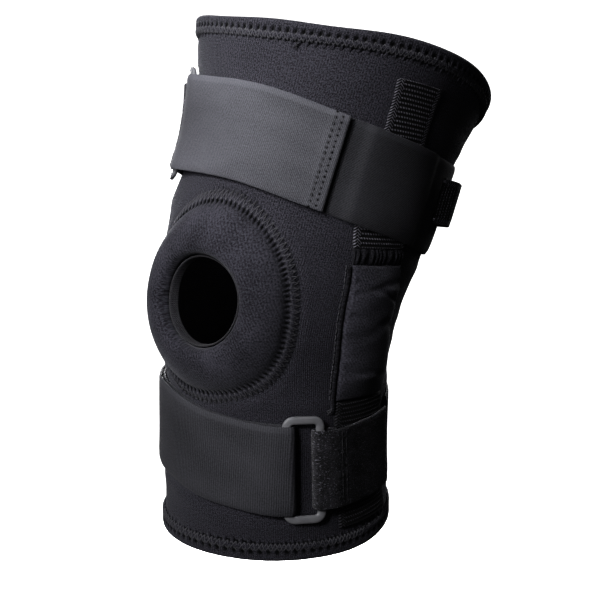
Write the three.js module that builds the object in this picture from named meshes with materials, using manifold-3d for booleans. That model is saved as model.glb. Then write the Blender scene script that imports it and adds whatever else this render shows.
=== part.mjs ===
// A pull-on knee sleeve with an open kneecap, two hook-and-loop straps and a hinge pocket on each side.
// The front of the knee is towards -Y, up the leg is +Z, and the outer side of the leg is towards +X.
// The origin is the middle of the leg at the height of the kneecap.
import * as THREE from "three";
import { mergeVertices } from "three/addons/utils/BufferGeometryUtils.js";
import Module from "manifold-3d";

const wasm = await Module();
wasm.setup();

// Driving sizes of the sleeve, in millimetres
const height = 230;            // between the middles of the two rims
const kneeShare = 0.527;       // where the kneecap lies, as a share of the height
const kneeWidth = 122;         // across the knee, side to side
const kneeDepth = 132;         // through the knee, front to back
const wall = 3.5;              // padded fabric of the sleeve
const clearance = 0.4;         // between pieces that lie on each other

// Driving sizes of the hems
const hemDepth = 9;            // how far each hem is turned over
const hemWall = 0.9;
const rimFold = hemWall + clearance;

// Driving sizes of the kneecap pad, in millimetres along the leg and degrees round it
const padHeight = 101;         // outer seam, top to bottom
const padTurn = 44.5;          // outer seam, half of its width
const padTaper = 0.16;         // the outer seam is narrower above than below
const padRise = 8.6;           // how far the padded ring stands off the sleeve
const padFlange = 1.6;         // thickness at the outer seam
const padSeat = 0.6;           // gap under the pad, which is cut more coarsely than the sleeve
const holeHeight = 46.5;
const holeTurn = 21.5;         // half of the hole's width
const holeShiftTurn = -1.5;    // the hole's middle lies this much towards the inner side
const bindingWall = 1.3;
const bindingRise = 1.8;       // how far the hole's binding reaches out past the sleeve
const plugMargin = 5;          // how far the cutting plug reaches past the sleeve

// Driving sizes of the straps and their loops
const strapWall = 1.6;
const upperStrapWidth = 49;
const lowerStrapWidth = 46;
const strapEase = 24;          // length over which the folded layer comes down from the ring
const tabNarrowing = 5;        // each tab is this much narrower than its strap
const tabWall = 1.8;
const ringBar = 4.2;           // width of the ring's bars
const ringThickness = 2.6;
const ringWidth = 20.5;        // round the leg, outside
const ringCorner = 3.6;        // radius of the middle of the bar at the ring's corners
const ringRoom = 0.6;          // between the strap's edge and the ring
const ringPlay = 0.5;          // between the ring's bars and the folds that hold them
const firstBarTurn = 43;       // middle of the bar that the strap is folded round
const strapStartTurn = 112;    // where each strap is sewn on, behind its tab
const tabSeamTurn = 68;        // where the tab's under layer ends
const tabEndTurn = 107;
const raiseRampTurn = 6;       // turn over which a strap climbs onto the webbing
const keeperWidth = 24;
const keeperOffset = 3.5;      // how far its middle lies above the strap's middle line
const keeperRise = 4.2;
const keeperStartTurn = 102;
const keeperEndTurn = 131;

// Driving sizes of the hinge pockets
const webbingWall = 1.4;
const pocketRise = 7;          // thickness of the padded pocket at its middle
const pocketEdge = 2.2;        // thickness of the padded pocket at its edges
const gatherRise = 3.4;
const pipingRise = 1.6;
const pipingWidth = 2.2;
const lowerWebbingShare = 0.058;
const outerPocketShare = 0.336;
const innerPocketShare = 0.375;
const pocketTopShare = 0.62;
const pocketGapShare = 0.003;  // between the pocket's pieces, as a share of the height
const pipingBelowShare = 0.026; // how far the piping reaches below the padded cover
const gatherShare = 0.623;
const gatherTopShare = 0.648;
const webbingShare = 0.65;
const webbingTopShare = 0.938;
const innerSetBackTurn = 10;   // the inner pocket lies this many degrees further back

// How finely the curved pieces are cut into flat faces
const columns = 54;
const sleeveRows = 20;
const innerRows = 10;
const strapRows = 3;
const padColumns = 36;
const columnTurn = 360 / columns;

// Sections of the sleeve from its lower rim to its upper rim. back is a share of the height,
// wide and deep are shares of the knee's width and depth, egg moves the widest place forward,
// saddle is how far the section's front and back stand above its sides, as a share of the height.
const sections = [
  { up: 0, back: -0.042, tilt: -4.5, wide: 0.967, deep: 0.883, egg: -0.07, saddle: 0.0106 },
  { up: 1 / 6, back: -0.038, tilt: 0.8, wide: 0.928, deep: 0.869, egg: -0.03, saddle: 0.0063 },
  { up: 2 / 6, back: -0.026, tilt: 4.4, wide: 0.916, deep: 0.898, egg: 0, saddle: 0.0041 },
  { up: 3 / 6, back: -0.009, tilt: 7.1, wide: 0.988, deep: 0.991, egg: 0.03, saddle: 0.002 },
  { up: 4 / 6, back: 0.065, tilt: 11, wide: 1.085, deep: 1.043, egg: 0, saddle: -0.0011 },
  { up: 5 / 6, back: 0.166, tilt: 18, wide: 1.111, deep: 1.054, egg: 0.035, saddle: -0.0086 },
  { up: 1, back: 0.257, tilt: 27.9, wide: 1.316, deep: 1.16, egg: 0.127, saddle: -0.0192 },
];

// Middle lines of the straps round the leg: turn in degrees from the front, up as a share of the height
const upperLine = [
  { turn: -180, up: 0.72 },
  { turn: -120, up: 0.752 },
  { turn: -60, up: 0.812 },
  { turn: -20, up: 0.823 },
  { turn: 7, up: 0.818 },
  { turn: 42, up: 0.788 },
  { turn: 70, up: 0.762 },
  { turn: 110, up: 0.733 },
  { turn: 180, up: 0.72 },
];
const lowerLine = [
  { turn: -180, up: 0.225 },
  { turn: -90, up: 0.24 },
  { turn: -30, up: 0.236 },
  { turn: 5, up: 0.209 },
  { turn: 44, up: 0.198 },
  { turn: 110, up: 0.206 },
  { turn: 180, up: 0.225 },
];

// Front and rear edges of the pocket's pieces, from low to high
const pocketEdges = [
  { up: 0.058, front: 69.5, rear: 106 },
  { up: 0.2, front: 69.5, rear: 106 },
  { up: 0.34, front: 68.5, rear: 104 },
  { up: 0.45, front: 69.5, rear: 102 },
  { up: 0.57, front: 66, rear: 95 },
  { up: 0.625, front: 62.5, rear: 90 },
  { up: 0.69, front: 58, rear: 85 },
  { up: 0.86, front: 58, rear: 80 },
  { up: 0.942, front: 56, rear: 78 },
];

// Smooth value of a table's column at a place along it
function follow(rows, key, where, column) {
  const last = rows.length - 2;
  let i = 0;
  while (i < last && where > rows[i + 1][key]) i += 1;
  const slope = (j) => {
    const before = rows[Math.max(j - 1, 0)];
    const after = rows[Math.min(j + 1, rows.length - 1)];
    return (after[column] - before[column]) / (after[key] - before[key]);
  };
  const step = rows[i + 1][key] - rows[i][key];
  const t = (where - rows[i][key]) / step;
  const cubic = (2 * t - 3) * t * t;
  const start = (1 + cubic) * rows[i][column] + t * (1 - t) * (1 - t) * step * slope(i);
  const end = -cubic * rows[i + 1][column] + t * t * (t - 1) * step * slope(i + 1);
  return start + end;
}

// Point on the sleeve: share up its height, turn from the front in degrees, lift off its outer face
function onSleeve(up, turn, lift) {
  const u = THREE.MathUtils.degToRad(turn);
  const value = (column) => follow(sections, "up", up, column);
  const tilt = THREE.MathUtils.degToRad(value("tilt"));
  const halfWidth = (kneeWidth / 2) * value("wide") + lift;
  const halfDepth = (kneeDepth / 2) * value("deep") + lift;
  const forward = halfDepth * (Math.cos(u) + value("egg") * Math.sin(u) ** 2);
  return new THREE.Vector3(
    halfWidth * Math.sin(u),
    height * value("back") - forward * Math.cos(tilt),
    height * (up - kneeShare) + forward * Math.sin(tilt) + height * value("saddle") * Math.cos(2 * u),
  );
}

// Share of the height that a length along the leg takes at a place
function shareOf(length, up, turn) {
  const nudge = 0.01;
  return (length * nudge) / onSleeve(up - nudge / 2, turn, 0).distanceTo(onSleeve(up + nudge / 2, turn, 0));
}

// Degrees that a length round the leg takes at a place
function turnOf(length, up, turn) {
  return length / onSleeve(up, turn - 0.5, 0).distanceTo(onSleeve(up, turn + 0.5, 0));
}

// From 0 to 1, level at both ends
function ease(t) {
  return THREE.MathUtils.smoothstep(t, 0, 1);
}

// Numbers from first to last in so many steps
function spread(first, last, steps) {
  return Array.from({ length: steps + 1 }, (_, i) => first + ((last - first) * i) / steps);
}

// Closed body swept through loops of points, ending in flat laddered caps or on its own start
function sweep(loops, closed) {
  const size = loops[0].length;
  const index = [];
  const quad = (a, b, c, d) => index.push(a, b, c, a, c, d);
  const spans = closed ? loops.length : loops.length - 1;
  for (let i = 0; i < spans; i += 1) {
    const here = i * size;
    const next = ((i + 1) % loops.length) * size;
    for (let j = 0; j < size; j += 1) {
      const k = (j + 1) % size;
      quad(here + j, here + k, next + k, next + j);
    }
  }
  if (!closed) {
    const end = (loops.length - 1) * size;
    for (let j = 0; j < size / 2 - 1; j += 1) {
      const far = size - 1 - j;
      quad(j, far, far - 1, j + 1);
      quad(end + j, end + j + 1, end + far - 1, end + far);
    }
  }
  const positions = loops.flat().flatMap((point) => [point.x, point.y, point.z]);
  if (volumeOf(positions, index) < 0) index.reverse();
  return geometryOf(positions, index);
}

function volumeOf(positions, index) {
  const corner = (i) => new THREE.Vector3().fromArray(positions, 3 * i);
  let volume = 0;
  for (let i = 0; i < index.length; i += 3) {
    volume += corner(index[i]).dot(corner(index[i + 1]).cross(corner(index[i + 2]))) / 6;
  }
  return volume;
}

function geometryOf(positions, index) {
  const geometry = new THREE.BufferGeometry();
  geometry.setAttribute("position", new THREE.Float32BufferAttribute(positions, 3));
  geometry.setIndex(index);
  geometry.computeVertexNormals();
  return geometry;
}

function subtract(body, tool) {
  const solids = [body, tool].map((geometry) => {
    const plain = geometry.clone();
    plain.deleteAttribute("normal");
    const merged = mergeVertices(plain);
    return new wasm.Manifold(new wasm.Mesh({
      numProp: 3,
      vertProperties: new Float32Array(merged.attributes.position.array),
      triVerts: new Uint32Array(merged.index.array),
    }));
  });
  const mesh = solids[0].subtract(solids[1]).getMesh();
  return geometryOf(Array.from(mesh.vertProperties), Array.from(mesh.triVerts));
}

// Egg-shaped outlines of the kneecap pad: reach 0 is the hole's edge and 1 is the outer seam
const padMiddle = kneeShare - 0.006;
const padShare = shareOf(padHeight, padMiddle, 0);
const holeShare = shareOf(holeHeight, padMiddle, 0);

function onPad(angle, reach, lift, inset = 0) {
  const upward = Math.sin(angle);
  const holeUp = holeShare / 2 - shareOf(inset, padMiddle, 0);
  const holeSide = holeTurn - turnOf(inset, padMiddle, 0);
  const up = padMiddle + THREE.MathUtils.lerp(holeUp, padShare / 2, reach) * upward;
  const taper = 1 - padTaper * reach * upward;
  const turn = THREE.MathUtils.lerp(holeSide, padTurn, reach) * taper * Math.cos(angle);
  return onSleeve(up, turn + holeShiftTurn * (1 - reach), lift);
}

const around = (steps) => spread(0, 2 * Math.PI, steps).slice(0, steps);

// Tube of padded fabric with the kneecap's hole cut through its front
function sleeve() {
  const loops = spread(0, 360, columns).slice(0, columns).map((turn) => {
    const low = shareOf(rimFold, 0, turn);
    const high = 1 - shareOf(rimFold, 1, turn);
    return [
      ...spread(low, high, sleeveRows).map((up) => onSleeve(up, turn, 0)),
      ...spread(high, low, innerRows).map((up) => onSleeve(up, turn, -wall)),
    ];
  });
  const plug = [-wall - plugMargin, 2 * plugMargin].map((lift) => {
    return around(padColumns).map((angle) => onPad(angle, 0, lift));
  });
  return subtract(sweep(loops, true), sweep(plug, false));
}

// Edge of the sleeve turned over on both sides, at the lower rim (0) or the upper rim (1)
function hem(rim) {
  const inward = rim === 0 ? 1 : -1;
  const inner = -wall - clearance;
  const profile = [
    { along: hemDepth, lift: rimFold },
    { along: 0, lift: rimFold },
    { along: 0, lift: inner - hemWall },
    { along: hemDepth, lift: inner - hemWall },
    { along: hemDepth, lift: inner },
    { along: hemWall, lift: inner },
    { along: hemWall, lift: clearance },
    { along: hemDepth, lift: clearance },
  ];
  const loops = spread(0, 360, columns).slice(0, columns).map((turn) => profile.map(({ along, lift }) => {
    return onSleeve(rim + inward * shareOf(along, rim, turn), turn, lift);
  }));
  return sweep(loops, true);
}

// Section of the padded ring round the kneecap. lift is a share of the pad's rise.
const padProfile = [
  { reach: 0, lift: 0.3 },
  { reach: 0.03, lift: 0.62 },
  { reach: 0.12, lift: 0.88 },
  { reach: 0.28, lift: 1 },
  { reach: 0.46, lift: 0.94 },
  { reach: 0.64, lift: 0.72 },
  { reach: 0.78, lift: 0.44 },
  { reach: 0.88, lift: 0.22 },
];

function patellaPad() {
  const under = spread(1, 0, 5);
  const loops = around(padColumns).map((angle) => [
    ...padProfile.map(({ reach, lift }) => onPad(angle, reach, padSeat + padRise * lift)),
    onPad(angle, 1, padSeat + padFlange),
    ...under.map((reach) => onPad(angle, reach, padSeat)),
  ]);
  return sweep(loops, true);
}

// Overlocked edge that lines the hole through the sleeve
function patellaBinding() {
  const loops = around(padColumns).map((angle) => [
    onPad(angle, 0, -wall, clearance),
    onPad(angle, 0, bindingRise, clearance),
    onPad(angle, 0, bindingRise, clearance + bindingWall),
    onPad(angle, 0, -wall, clearance + bindingWall),
  ]);
  return sweep(loops, true);
}

// Turn brought back to between -180 and 180 degrees
function wrapped(turn) {
  return THREE.MathUtils.euclideanModulo(turn + 180, 360) - 180;
}

// Height off the sleeve at which a band lies, raised over the webbing and pocket between two turns
function seatOf(turn, raised) {
  const place = wrapped(turn);
  const rise = (distance) => ease(distance / raiseRampTurn + 1);
  const share = raised.map(({ from, to }) => Math.min(rise(place - from), rise(to - place)));
  return clearance + Math.max(0, ...share) * (webbingWall + clearance);
}

// Band across the leg through stations, each with its two faces as turn and lift
function band(stations, line, width) {
  const rows = spread(-0.5, 0.5, strapRows);
  const place = (face, row) => {
    const middle = follow(line, "turn", wrapped(face.turn), "up");
    return onSleeve(middle + row * shareOf(width, middle, face.turn), face.turn, face.lift);
  };
  const loops = stations.map(({ outer, inner }) => [
    ...rows.map((row) => place(outer, row)),
    ...rows.toReversed().map((row) => place(inner, row)),
  ]);
  return sweep(loops, false);
}

// Turns from one to another in whole columns, with both ends
function stops(from, to) {
  const low = Math.min(from, to);
  const high = Math.max(from, to);
  const first = Math.ceil((low + 0.5) / columnTurn);
  const last = Math.floor((high - 0.5) / columnTurn);
  const inside = Array.from({ length: Math.max(last - first + 1, 0) }, (_, i) => (first + i) * columnTurn);
  const all = [low, ...inside, high];
  return from < to ? all : all.toReversed();
}

// Height of the middle of a strap's ring off the sleeve
function ringLift({ side, raised }) {
  return seatOf(side * firstBarTurn, raised) + Math.max(strapWall, tabWall) + ringPlay + ringThickness / 2;
}

// Degrees that a millimetre round the leg takes at a strap's ring
function ringDegrees({ side, line }) {
  const turn = side * firstBarTurn;
  return turnOf(1, follow(line, "turn", turn, "up"), turn);
}

// Stations of a band folded round one bar of a ring. It comes to the bar below, from the turn start,
// and goes back above it, to the turn end. The fold faces towards heading, 1 or -1.
function foldedBand(strap, { start, bar, end, heading, thickness }) {
  const room = ringThickness / 2 + ringPlay;
  const degrees = ringDegrees(strap);
  const centre = bar + heading * (ringBar / 2 - ringThickness / 2) * degrees;
  const middle = ringLift(strap);
  const below = stops(start, centre).map((turn) => {
    const seat = seatOf(turn, strap.raised);
    return { outer: { turn, lift: seat }, inner: { turn, lift: seat + thickness } };
  });
  const fold = spread(-90, 90, 6).slice(1, -1).map((degree) => {
    const angle = THREE.MathUtils.degToRad(degree);
    const at = (radius) => ({
      turn: centre + heading * radius * Math.cos(angle) * degrees,
      lift: middle + radius * Math.sin(angle),
    });
    return { outer: at(room + thickness), inner: at(room) };
  });
  const pastBar = centre - heading * ringBar * degrees;
  const above = [centre, ...stops(pastBar, end)].map((turn) => {
    const away = Math.max(0, Math.abs(turn - centre) / degrees - ringBar) / strapEase;
    const doubled = (turn - start) * (turn - bar) < 0;
    const low = seatOf(turn, strap.raised) + (doubled ? thickness + clearance : 0);
    const lift = THREE.MathUtils.lerp(middle + room, low, ease(away));
    return { outer: { turn, lift: lift + thickness }, inner: { turn, lift } };
  });
  return [...below, ...fold, ...above];
}

// Strap that starts behind its ring's tab, goes once round the leg, through the ring and back on itself
function strapBand(strap) {
  const stations = foldedBand(strap, {
    start: -strap.side * (360 - strapStartTurn),
    bar: strap.side * firstBarTurn,
    end: -strap.side * strap.reach,
    heading: strap.side,
    thickness: strapWall,
  });
  return band(stations, strap.line, strap.width);
}

// Tab of loop fabric that holds the ring and is sewn to the side of the sleeve
function tab(strap) {
  const stations = foldedBand(strap, {
    start: strap.side * tabSeamTurn,
    bar: strap.side * (firstBarTurn + (ringWidth - ringBar) * ringDegrees(strap)),
    end: strap.side * tabEndTurn,
    heading: -strap.side,
    thickness: tabWall,
  });
  return band(stations, strap.line, strap.width - tabNarrowing);
}

// Moulded ring whose two long bars lie across the strap
function ring(strap) {
  const { side, line, width } = strap;
  const halfWidth = (ringWidth - ringBar) / 2;
  const halfHeight = width / 2 + ringRoom + ringBar / 2;
  const degrees = ringDegrees(strap);
  const centre = side * firstBarTurn + side * halfWidth * degrees;
  const middle = ringLift(strap);
  const corners = [[1, 1], [-1, 1], [-1, -1], [1, -1]];
  const path = corners.flatMap(([x, y], quarter) => {
    const corner = new THREE.Vector2(x * (halfWidth - ringCorner), y * (halfHeight - ringCorner));
    const arc = spread(0, 90, 3).map((degree) => {
      const angle = THREE.MathUtils.degToRad(degree + 90 * quarter);
      const outward = new THREE.Vector2(Math.cos(angle), Math.sin(angle));
      return { point: corner.clone().addScaledVector(outward, ringCorner), outward };
    });
    const bar = [1 / 3, -1 / 3].map((share) => ({
      point: new THREE.Vector2(x * halfWidth, corner.y * share),
      outward: new THREE.Vector2(x, 0),
    }));
    return quarter % 2 === 1 ? [...arc, ...bar] : arc;
  });
  const loops = path.map(({ point, outward }) => spread(22.5, 382.5, 8).slice(0, 8).map((degree) => {
    const angle = THREE.MathUtils.degToRad(degree);
    const across = point.clone().addScaledVector(outward, (ringBar / 2) * Math.cos(angle));
    const turn = centre + across.x * degrees;
    const up = follow(line, "turn", turn, "up");
    return onSleeve(up + shareOf(across.y, up, turn), turn, middle + (ringThickness / 2) * Math.sin(angle));
  }));
  return sweep(loops, true);
}

// Arched loop of webbing that stands on the upper strap behind the outer side
function keeper(strap) {
  const stations = spread(keeperStartTurn, keeperEndTurn, 8).map((turn) => {
    const share = (turn - keeperStartTurn) / (keeperEndTurn - keeperStartTurn);
    const arch = ease(Math.min(share, 1 - share) * 3);
    const lift = seatOf(turn, strap.raised) + strapWall + clearance + keeperRise * arch;
    return { outer: { turn, lift }, inner: { turn, lift: lift + webbingWall } };
  });
  const line = strap.line.map(({ turn, up }) => ({ turn, up: up + shareOf(keeperOffset, up, turn) }));
  return band(stations, line, keeperWidth);
}

// Piece of a hinge pocket between two shares of the height and two edges of the pocket.
// high gives its outer face from how far along and across the piece a point lies.
function patch(side, { from, to, rows, across, front, rear, high }) {
  const loops = spread(from, to, rows).map((up) => {
    const along = (up - from) / (to - from);
    const places = spread(0, 1, across);
    const turnAt = (place) => THREE.MathUtils.lerp(front(up), rear(up), place) + setBack(side);
    const at = (place, lift) => onSleeve(up, side * turnAt(place), lift);
    return [
      ...places.map((place) => at(place, clearance)),
      ...places.toReversed().map((place) => at(place, clearance + high(along, place))),
    ];
  });
  return sweep(loops, false);
}

const front = (up) => follow(pocketEdges, "up", up, "front");
const rear = (up) => follow(pocketEdges, "up", up, "rear");
const setBack = (side) => (side < 0 ? innerSetBackTurn : 0);

// Ribbed elastic that runs under the upper strap
function webbing(side) {
  const high = () => webbingWall;
  return patch(side, { from: webbingShare, to: webbingTopShare, rows: 8, across: 5, front, rear, high });
}

// Gathered fold between the webbing and the padded cover
function gather(side) {
  const high = (along) => gatherRise * (0.75 + 0.25 * Math.cos(4 * Math.PI * along));
  return patch(side, { from: gatherShare, to: gatherTopShare, rows: 6, across: 4, front, rear, high });
}

// Padded cover over the hinge
function pocket(side, from) {
  const high = (along, across) => {
    const crown = Math.sqrt(Math.sin(Math.PI * across)) * Math.min(1, 6 * along + 0.1, 6 * (1 - along) + 0.1);
    return THREE.MathUtils.lerp(pocketEdge, pocketRise, crown);
  };
  return patch(side, { from, to: pocketTopShare, rows: 9, across: 6, front, rear, high });
}

// Raised line along the front edge of the padded cover
function piping(side, from) {
  const gap = (up) => turnOf(clearance, up, side * front(up));
  const edge = (up) => front(up) - gap(up);
  const start = (up) => edge(up) - turnOf(pipingWidth, up, side * front(up));
  const high = (along, across) => pipingRise * (0.5 + 0.5 * Math.sin(Math.PI * across));
  const low = from - pipingBelowShare;
  return patch(side, { from: low, to: pocketTopShare, rows: 10, across: 2, front: start, rear: edge, high });
}

// Lower end of the pocket, under the lower strap or its tab
function lowerWebbing(side, pocketFrom) {
  const high = () => webbingWall;
  const top = pocketFrom - pocketGapShare;
  return patch(side, { from: lowerWebbingShare, to: top, rows: 7, across: 5, front, rear, high });
}

// Where each strap runs. side is 1 where its ring is on the outer side of the leg and -1 on the inner
// side, reach is where its free end lies past the front, and raised is where it lies over a pocket.
const upper = {
  side: -1, line: upperLine, width: upperStrapWidth, reach: 42.5,
  raised: [{ from: -98, to: -66 }, { from: 55, to: 88 }],
};
const lower = {
  side: 1, line: lowerLine, width: lowerStrapWidth, reach: 84,
  raised: [{ from: -118, to: -73 }, { from: 68, to: 109 }],
};

const colours = {
  knit: 0x24242a, binding: 0x2c2c33, strap: 0x34353b, loop: 0x26262c, webbing: 0x1e1e22, ring: 0x45464b,
};

function piece(name, geometry, colour, roughness = 0.95) {
  const material = new THREE.MeshStandardMaterial({ color: colours[colour], roughness, metalness: 0 });
  const mesh = new THREE.Mesh(geometry, material);
  mesh.name = name;
  return mesh;
}

const kneeSleeve = new THREE.Group();
kneeSleeve.add(
  piece("sleeve", sleeve(), "knit"),
  piece("upper_hem", hem(1), "knit"),
  piece("lower_hem", hem(0), "knit"),
  piece("kneecap_pad", patellaPad(), "knit"),
  piece("kneecap_binding", patellaBinding(), "binding"),
  piece("upper_strap", strapBand(upper), "strap"),
  piece("upper_ring", ring(upper), "ring", 0.45),
  piece("upper_ring_tab", tab(upper), "loop"),
  piece("rear_loop", keeper(upper), "webbing"),
  piece("lower_strap", strapBand(lower), "strap"),
  piece("lower_ring", ring(lower), "ring", 0.45),
  piece("lower_ring_tab", tab(lower), "loop"),
);
for (const [place, side, from] of [["outer", 1, outerPocketShare], ["inner", -1, innerPocketShare]]) {
  kneeSleeve.add(
    piece(`${place}_webbing`, webbing(side), "webbing"),
    piece(`${place}_gather`, gather(side), "webbing"),
    piece(`${place}_pocket`, pocket(side, from), "knit"),
    piece(`${place}_piping`, piping(side, from), "binding"),
    piece(`${place}_lower_webbing`, lowerWebbing(side, from), "webbing"),
  );
}

export default kneeSleeve;
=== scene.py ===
"""A pull-on knee sleeve with an open kneecap, two strap closures and a hinge pocket on each side."""

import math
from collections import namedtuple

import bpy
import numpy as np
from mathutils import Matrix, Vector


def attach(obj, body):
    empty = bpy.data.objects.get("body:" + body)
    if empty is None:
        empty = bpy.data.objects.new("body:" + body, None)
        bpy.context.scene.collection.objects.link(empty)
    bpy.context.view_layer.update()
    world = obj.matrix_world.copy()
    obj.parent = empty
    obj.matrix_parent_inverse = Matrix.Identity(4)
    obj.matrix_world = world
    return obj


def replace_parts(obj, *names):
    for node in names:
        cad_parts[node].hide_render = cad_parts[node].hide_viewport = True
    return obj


bl_info = {
    "name": "Knee Sleeve",
    "version": (1, 0, 0),
    "blender": (4, 5, 0),
    "location": "3D View > Sidebar > Knee Sleeve",
    "description": "Dresses the solids of a knee sleeve with padded knit, straps, stitches and moulded rings",
    "category": "Object",
}

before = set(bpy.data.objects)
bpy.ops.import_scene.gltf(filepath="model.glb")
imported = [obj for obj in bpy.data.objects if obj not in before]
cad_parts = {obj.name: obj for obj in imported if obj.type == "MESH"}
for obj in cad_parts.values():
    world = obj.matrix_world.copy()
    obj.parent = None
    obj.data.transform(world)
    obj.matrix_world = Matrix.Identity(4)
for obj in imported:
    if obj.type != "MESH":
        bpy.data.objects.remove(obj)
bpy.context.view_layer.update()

MM = 0.001
CLOTH_MAP = "cloth"
SEAM_MAP = "seam"

# Distances of ribs, of the stitches on sewn ends and of the overlock's threads, in millimetres
RIB_PITCH = 2.25
END_PITCH = 3
WRAP_PITCH = 1.15

# Turns in degrees from the front, towards a strap's ring, where straps, tabs and the rear loop are sewn on
STRAP_START = 112
TAB_SEAM = 68
TAB_END = 107
LOOP_START = 102
LOOP_END = 131

# Degrees over which a strap climbs onto the pocket's webbing
CLIMB = 6

# How far the rear loop's middle lies above the strap's, and how far a hem reaches down the outside
LOOP_OFFSET = 3.5 * MM
HEM_REACH = 13.5 * MM

# How far the pad's middle lies below the kneecap's, as a share of the height
PAD_DROP = 0.006

# Shares of the height at which the pieces of the hinge pockets start and end
WEBBING_LOW = 0.65
WEBBING_TOP = 0.938
GATHER_LOW = 0.618
GATHER_TOP = 0.652
POCKET_TOP = 0.62
LOWER_WEBBING_LOW = 0.058

# The hinge pockets: side is 1 on the outer side, set_back is in degrees, low is where the cover starts
Pocket = namedtuple("Pocket", "place side set_back low")
POCKETS = [Pocket("outer", 1, 0, 0.336), Pocket("inner", -1, 10, 0.375)]

# Folds across a pocket's cover, in millimetres: how far below its upper end, how deep and how wide
Fold = namedtuple("Fold", "below slant deep wide")
COVER_FOLDS = [
    Fold(7, 0.35, 0.8, 1.6), Fold(14, -0.2, 0.6, 2), Fold(24, 0.25, 0.45, 2.4), Fold(38, -0.3, 0.35, 3),
    Fold(52, 0.2, 0.5, 2),
]

# Creases of the knee pit: up and slant as shares of the height, deep in millimetres
Crease = namedtuple("Crease", "up slant deep")
KNEE_PIT = [Crease(0.36, 0.06, 0.7), Crease(0.43, -0.05, 1), Crease(0.5, 0.04, 1), Crease(0.57, -0.06, 0.8)]

# The camera: the place it looks at, the ways to it and to its right from there, and its lens
LOOKED_AT = (-0.0113, 0.0298, -0.0144)
TO_CAMERA = (0.5703, -0.7758, 0.2701)
TO_RIGHT = (0.8057, 0.5923, 0)
LENS = 112.2
LAMP_DISTANCE = 1.2
FLOOR_DROP = 0.62
FLOOR_REACH = 6

# Sections of the sleeve from its lower rim to its upper rim. back and saddle are shares of the height,
# wide and deep are shares of the knee's width and depth, egg moves the widest place forward.
Section = namedtuple("Section", "up back tilt wide deep egg saddle")
SECTIONS = [
    Section(0, -0.042, -4.5, 0.967, 0.883, -0.07, 0.0106),
    Section(1 / 6, -0.038, 0.8, 0.928, 0.869, -0.03, 0.0063),
    Section(2 / 6, -0.026, 4.4, 0.916, 0.898, 0, 0.0041),
    Section(3 / 6, -0.009, 7.1, 0.988, 0.991, 0.03, 0.002),
    Section(4 / 6, 0.065, 11, 1.085, 1.043, 0, -0.0011),
    Section(5 / 6, 0.166, 18, 1.111, 1.054, 0.035, -0.0086),
    Section(1, 0.257, 27.9, 1.316, 1.16, 0.127, -0.0192),
]

# Middle lines of the straps round the leg: turn in degrees from the front, up as a share of the height
Place = namedtuple("Place", "turn up")
UPPER_LINE = [
    Place(-180, 0.72), Place(-120, 0.752), Place(-60, 0.812), Place(-20, 0.823), Place(7, 0.818),
    Place(42, 0.788), Place(70, 0.762), Place(110, 0.733), Place(180, 0.72),
]
LOWER_LINE = [
    Place(-180, 0.225), Place(-90, 0.24), Place(-30, 0.236), Place(5, 0.209), Place(44, 0.198),
    Place(110, 0.206), Place(180, 0.225),
]

# Front and rear edges of the hinge pocket's pieces, from low to high
Edge = namedtuple("Edge", "up front rear")
POCKET_EDGES = [
    Edge(0.058, 69.5, 106), Edge(0.2, 69.5, 106), Edge(0.34, 68.5, 104), Edge(0.45, 69.5, 102),
    Edge(0.57, 66, 95), Edge(0.625, 62.5, 90), Edge(0.69, 58, 85), Edge(0.86, 58, 80), Edge(0.942, 56, 78),
]

# Section of the padded ring from the hole's edge to the outer seam. lift is a share of the pad's rise.
Crest = namedtuple("Crest", "reach lift")
PAD_PROFILE = [
    Crest(0, 0.3), Crest(0.03, 0.62), Crest(0.12, 0.88), Crest(0.28, 1), Crest(0.46, 0.94),
    Crest(0.64, 0.72), Crest(0.78, 0.44), Crest(0.88, 0.22), Crest(1, 0.17),
]

# One strap: side is 1 where its ring is on the outer side of the leg, reach is where its free end lies
# past the front, and raised holds the turns over which it climbs onto the pocket's webbing.
Strap = namedtuple("Strap", "name side line width reach raised")


def length(name, description, default):
    return bpy.props.FloatProperty(
        name=name, description=description, default=default, min=0,
        precision=4, subtype="DISTANCE", unit="LENGTH",
    )


def number(name, description, default):
    return bpy.props.FloatProperty(name=name, description=description, default=default)


def colour(name, description, default):
    return bpy.props.FloatVectorProperty(
        name=name, description=description, default=default, size=3, min=0, max=1, subtype="COLOR"
    )


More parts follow.
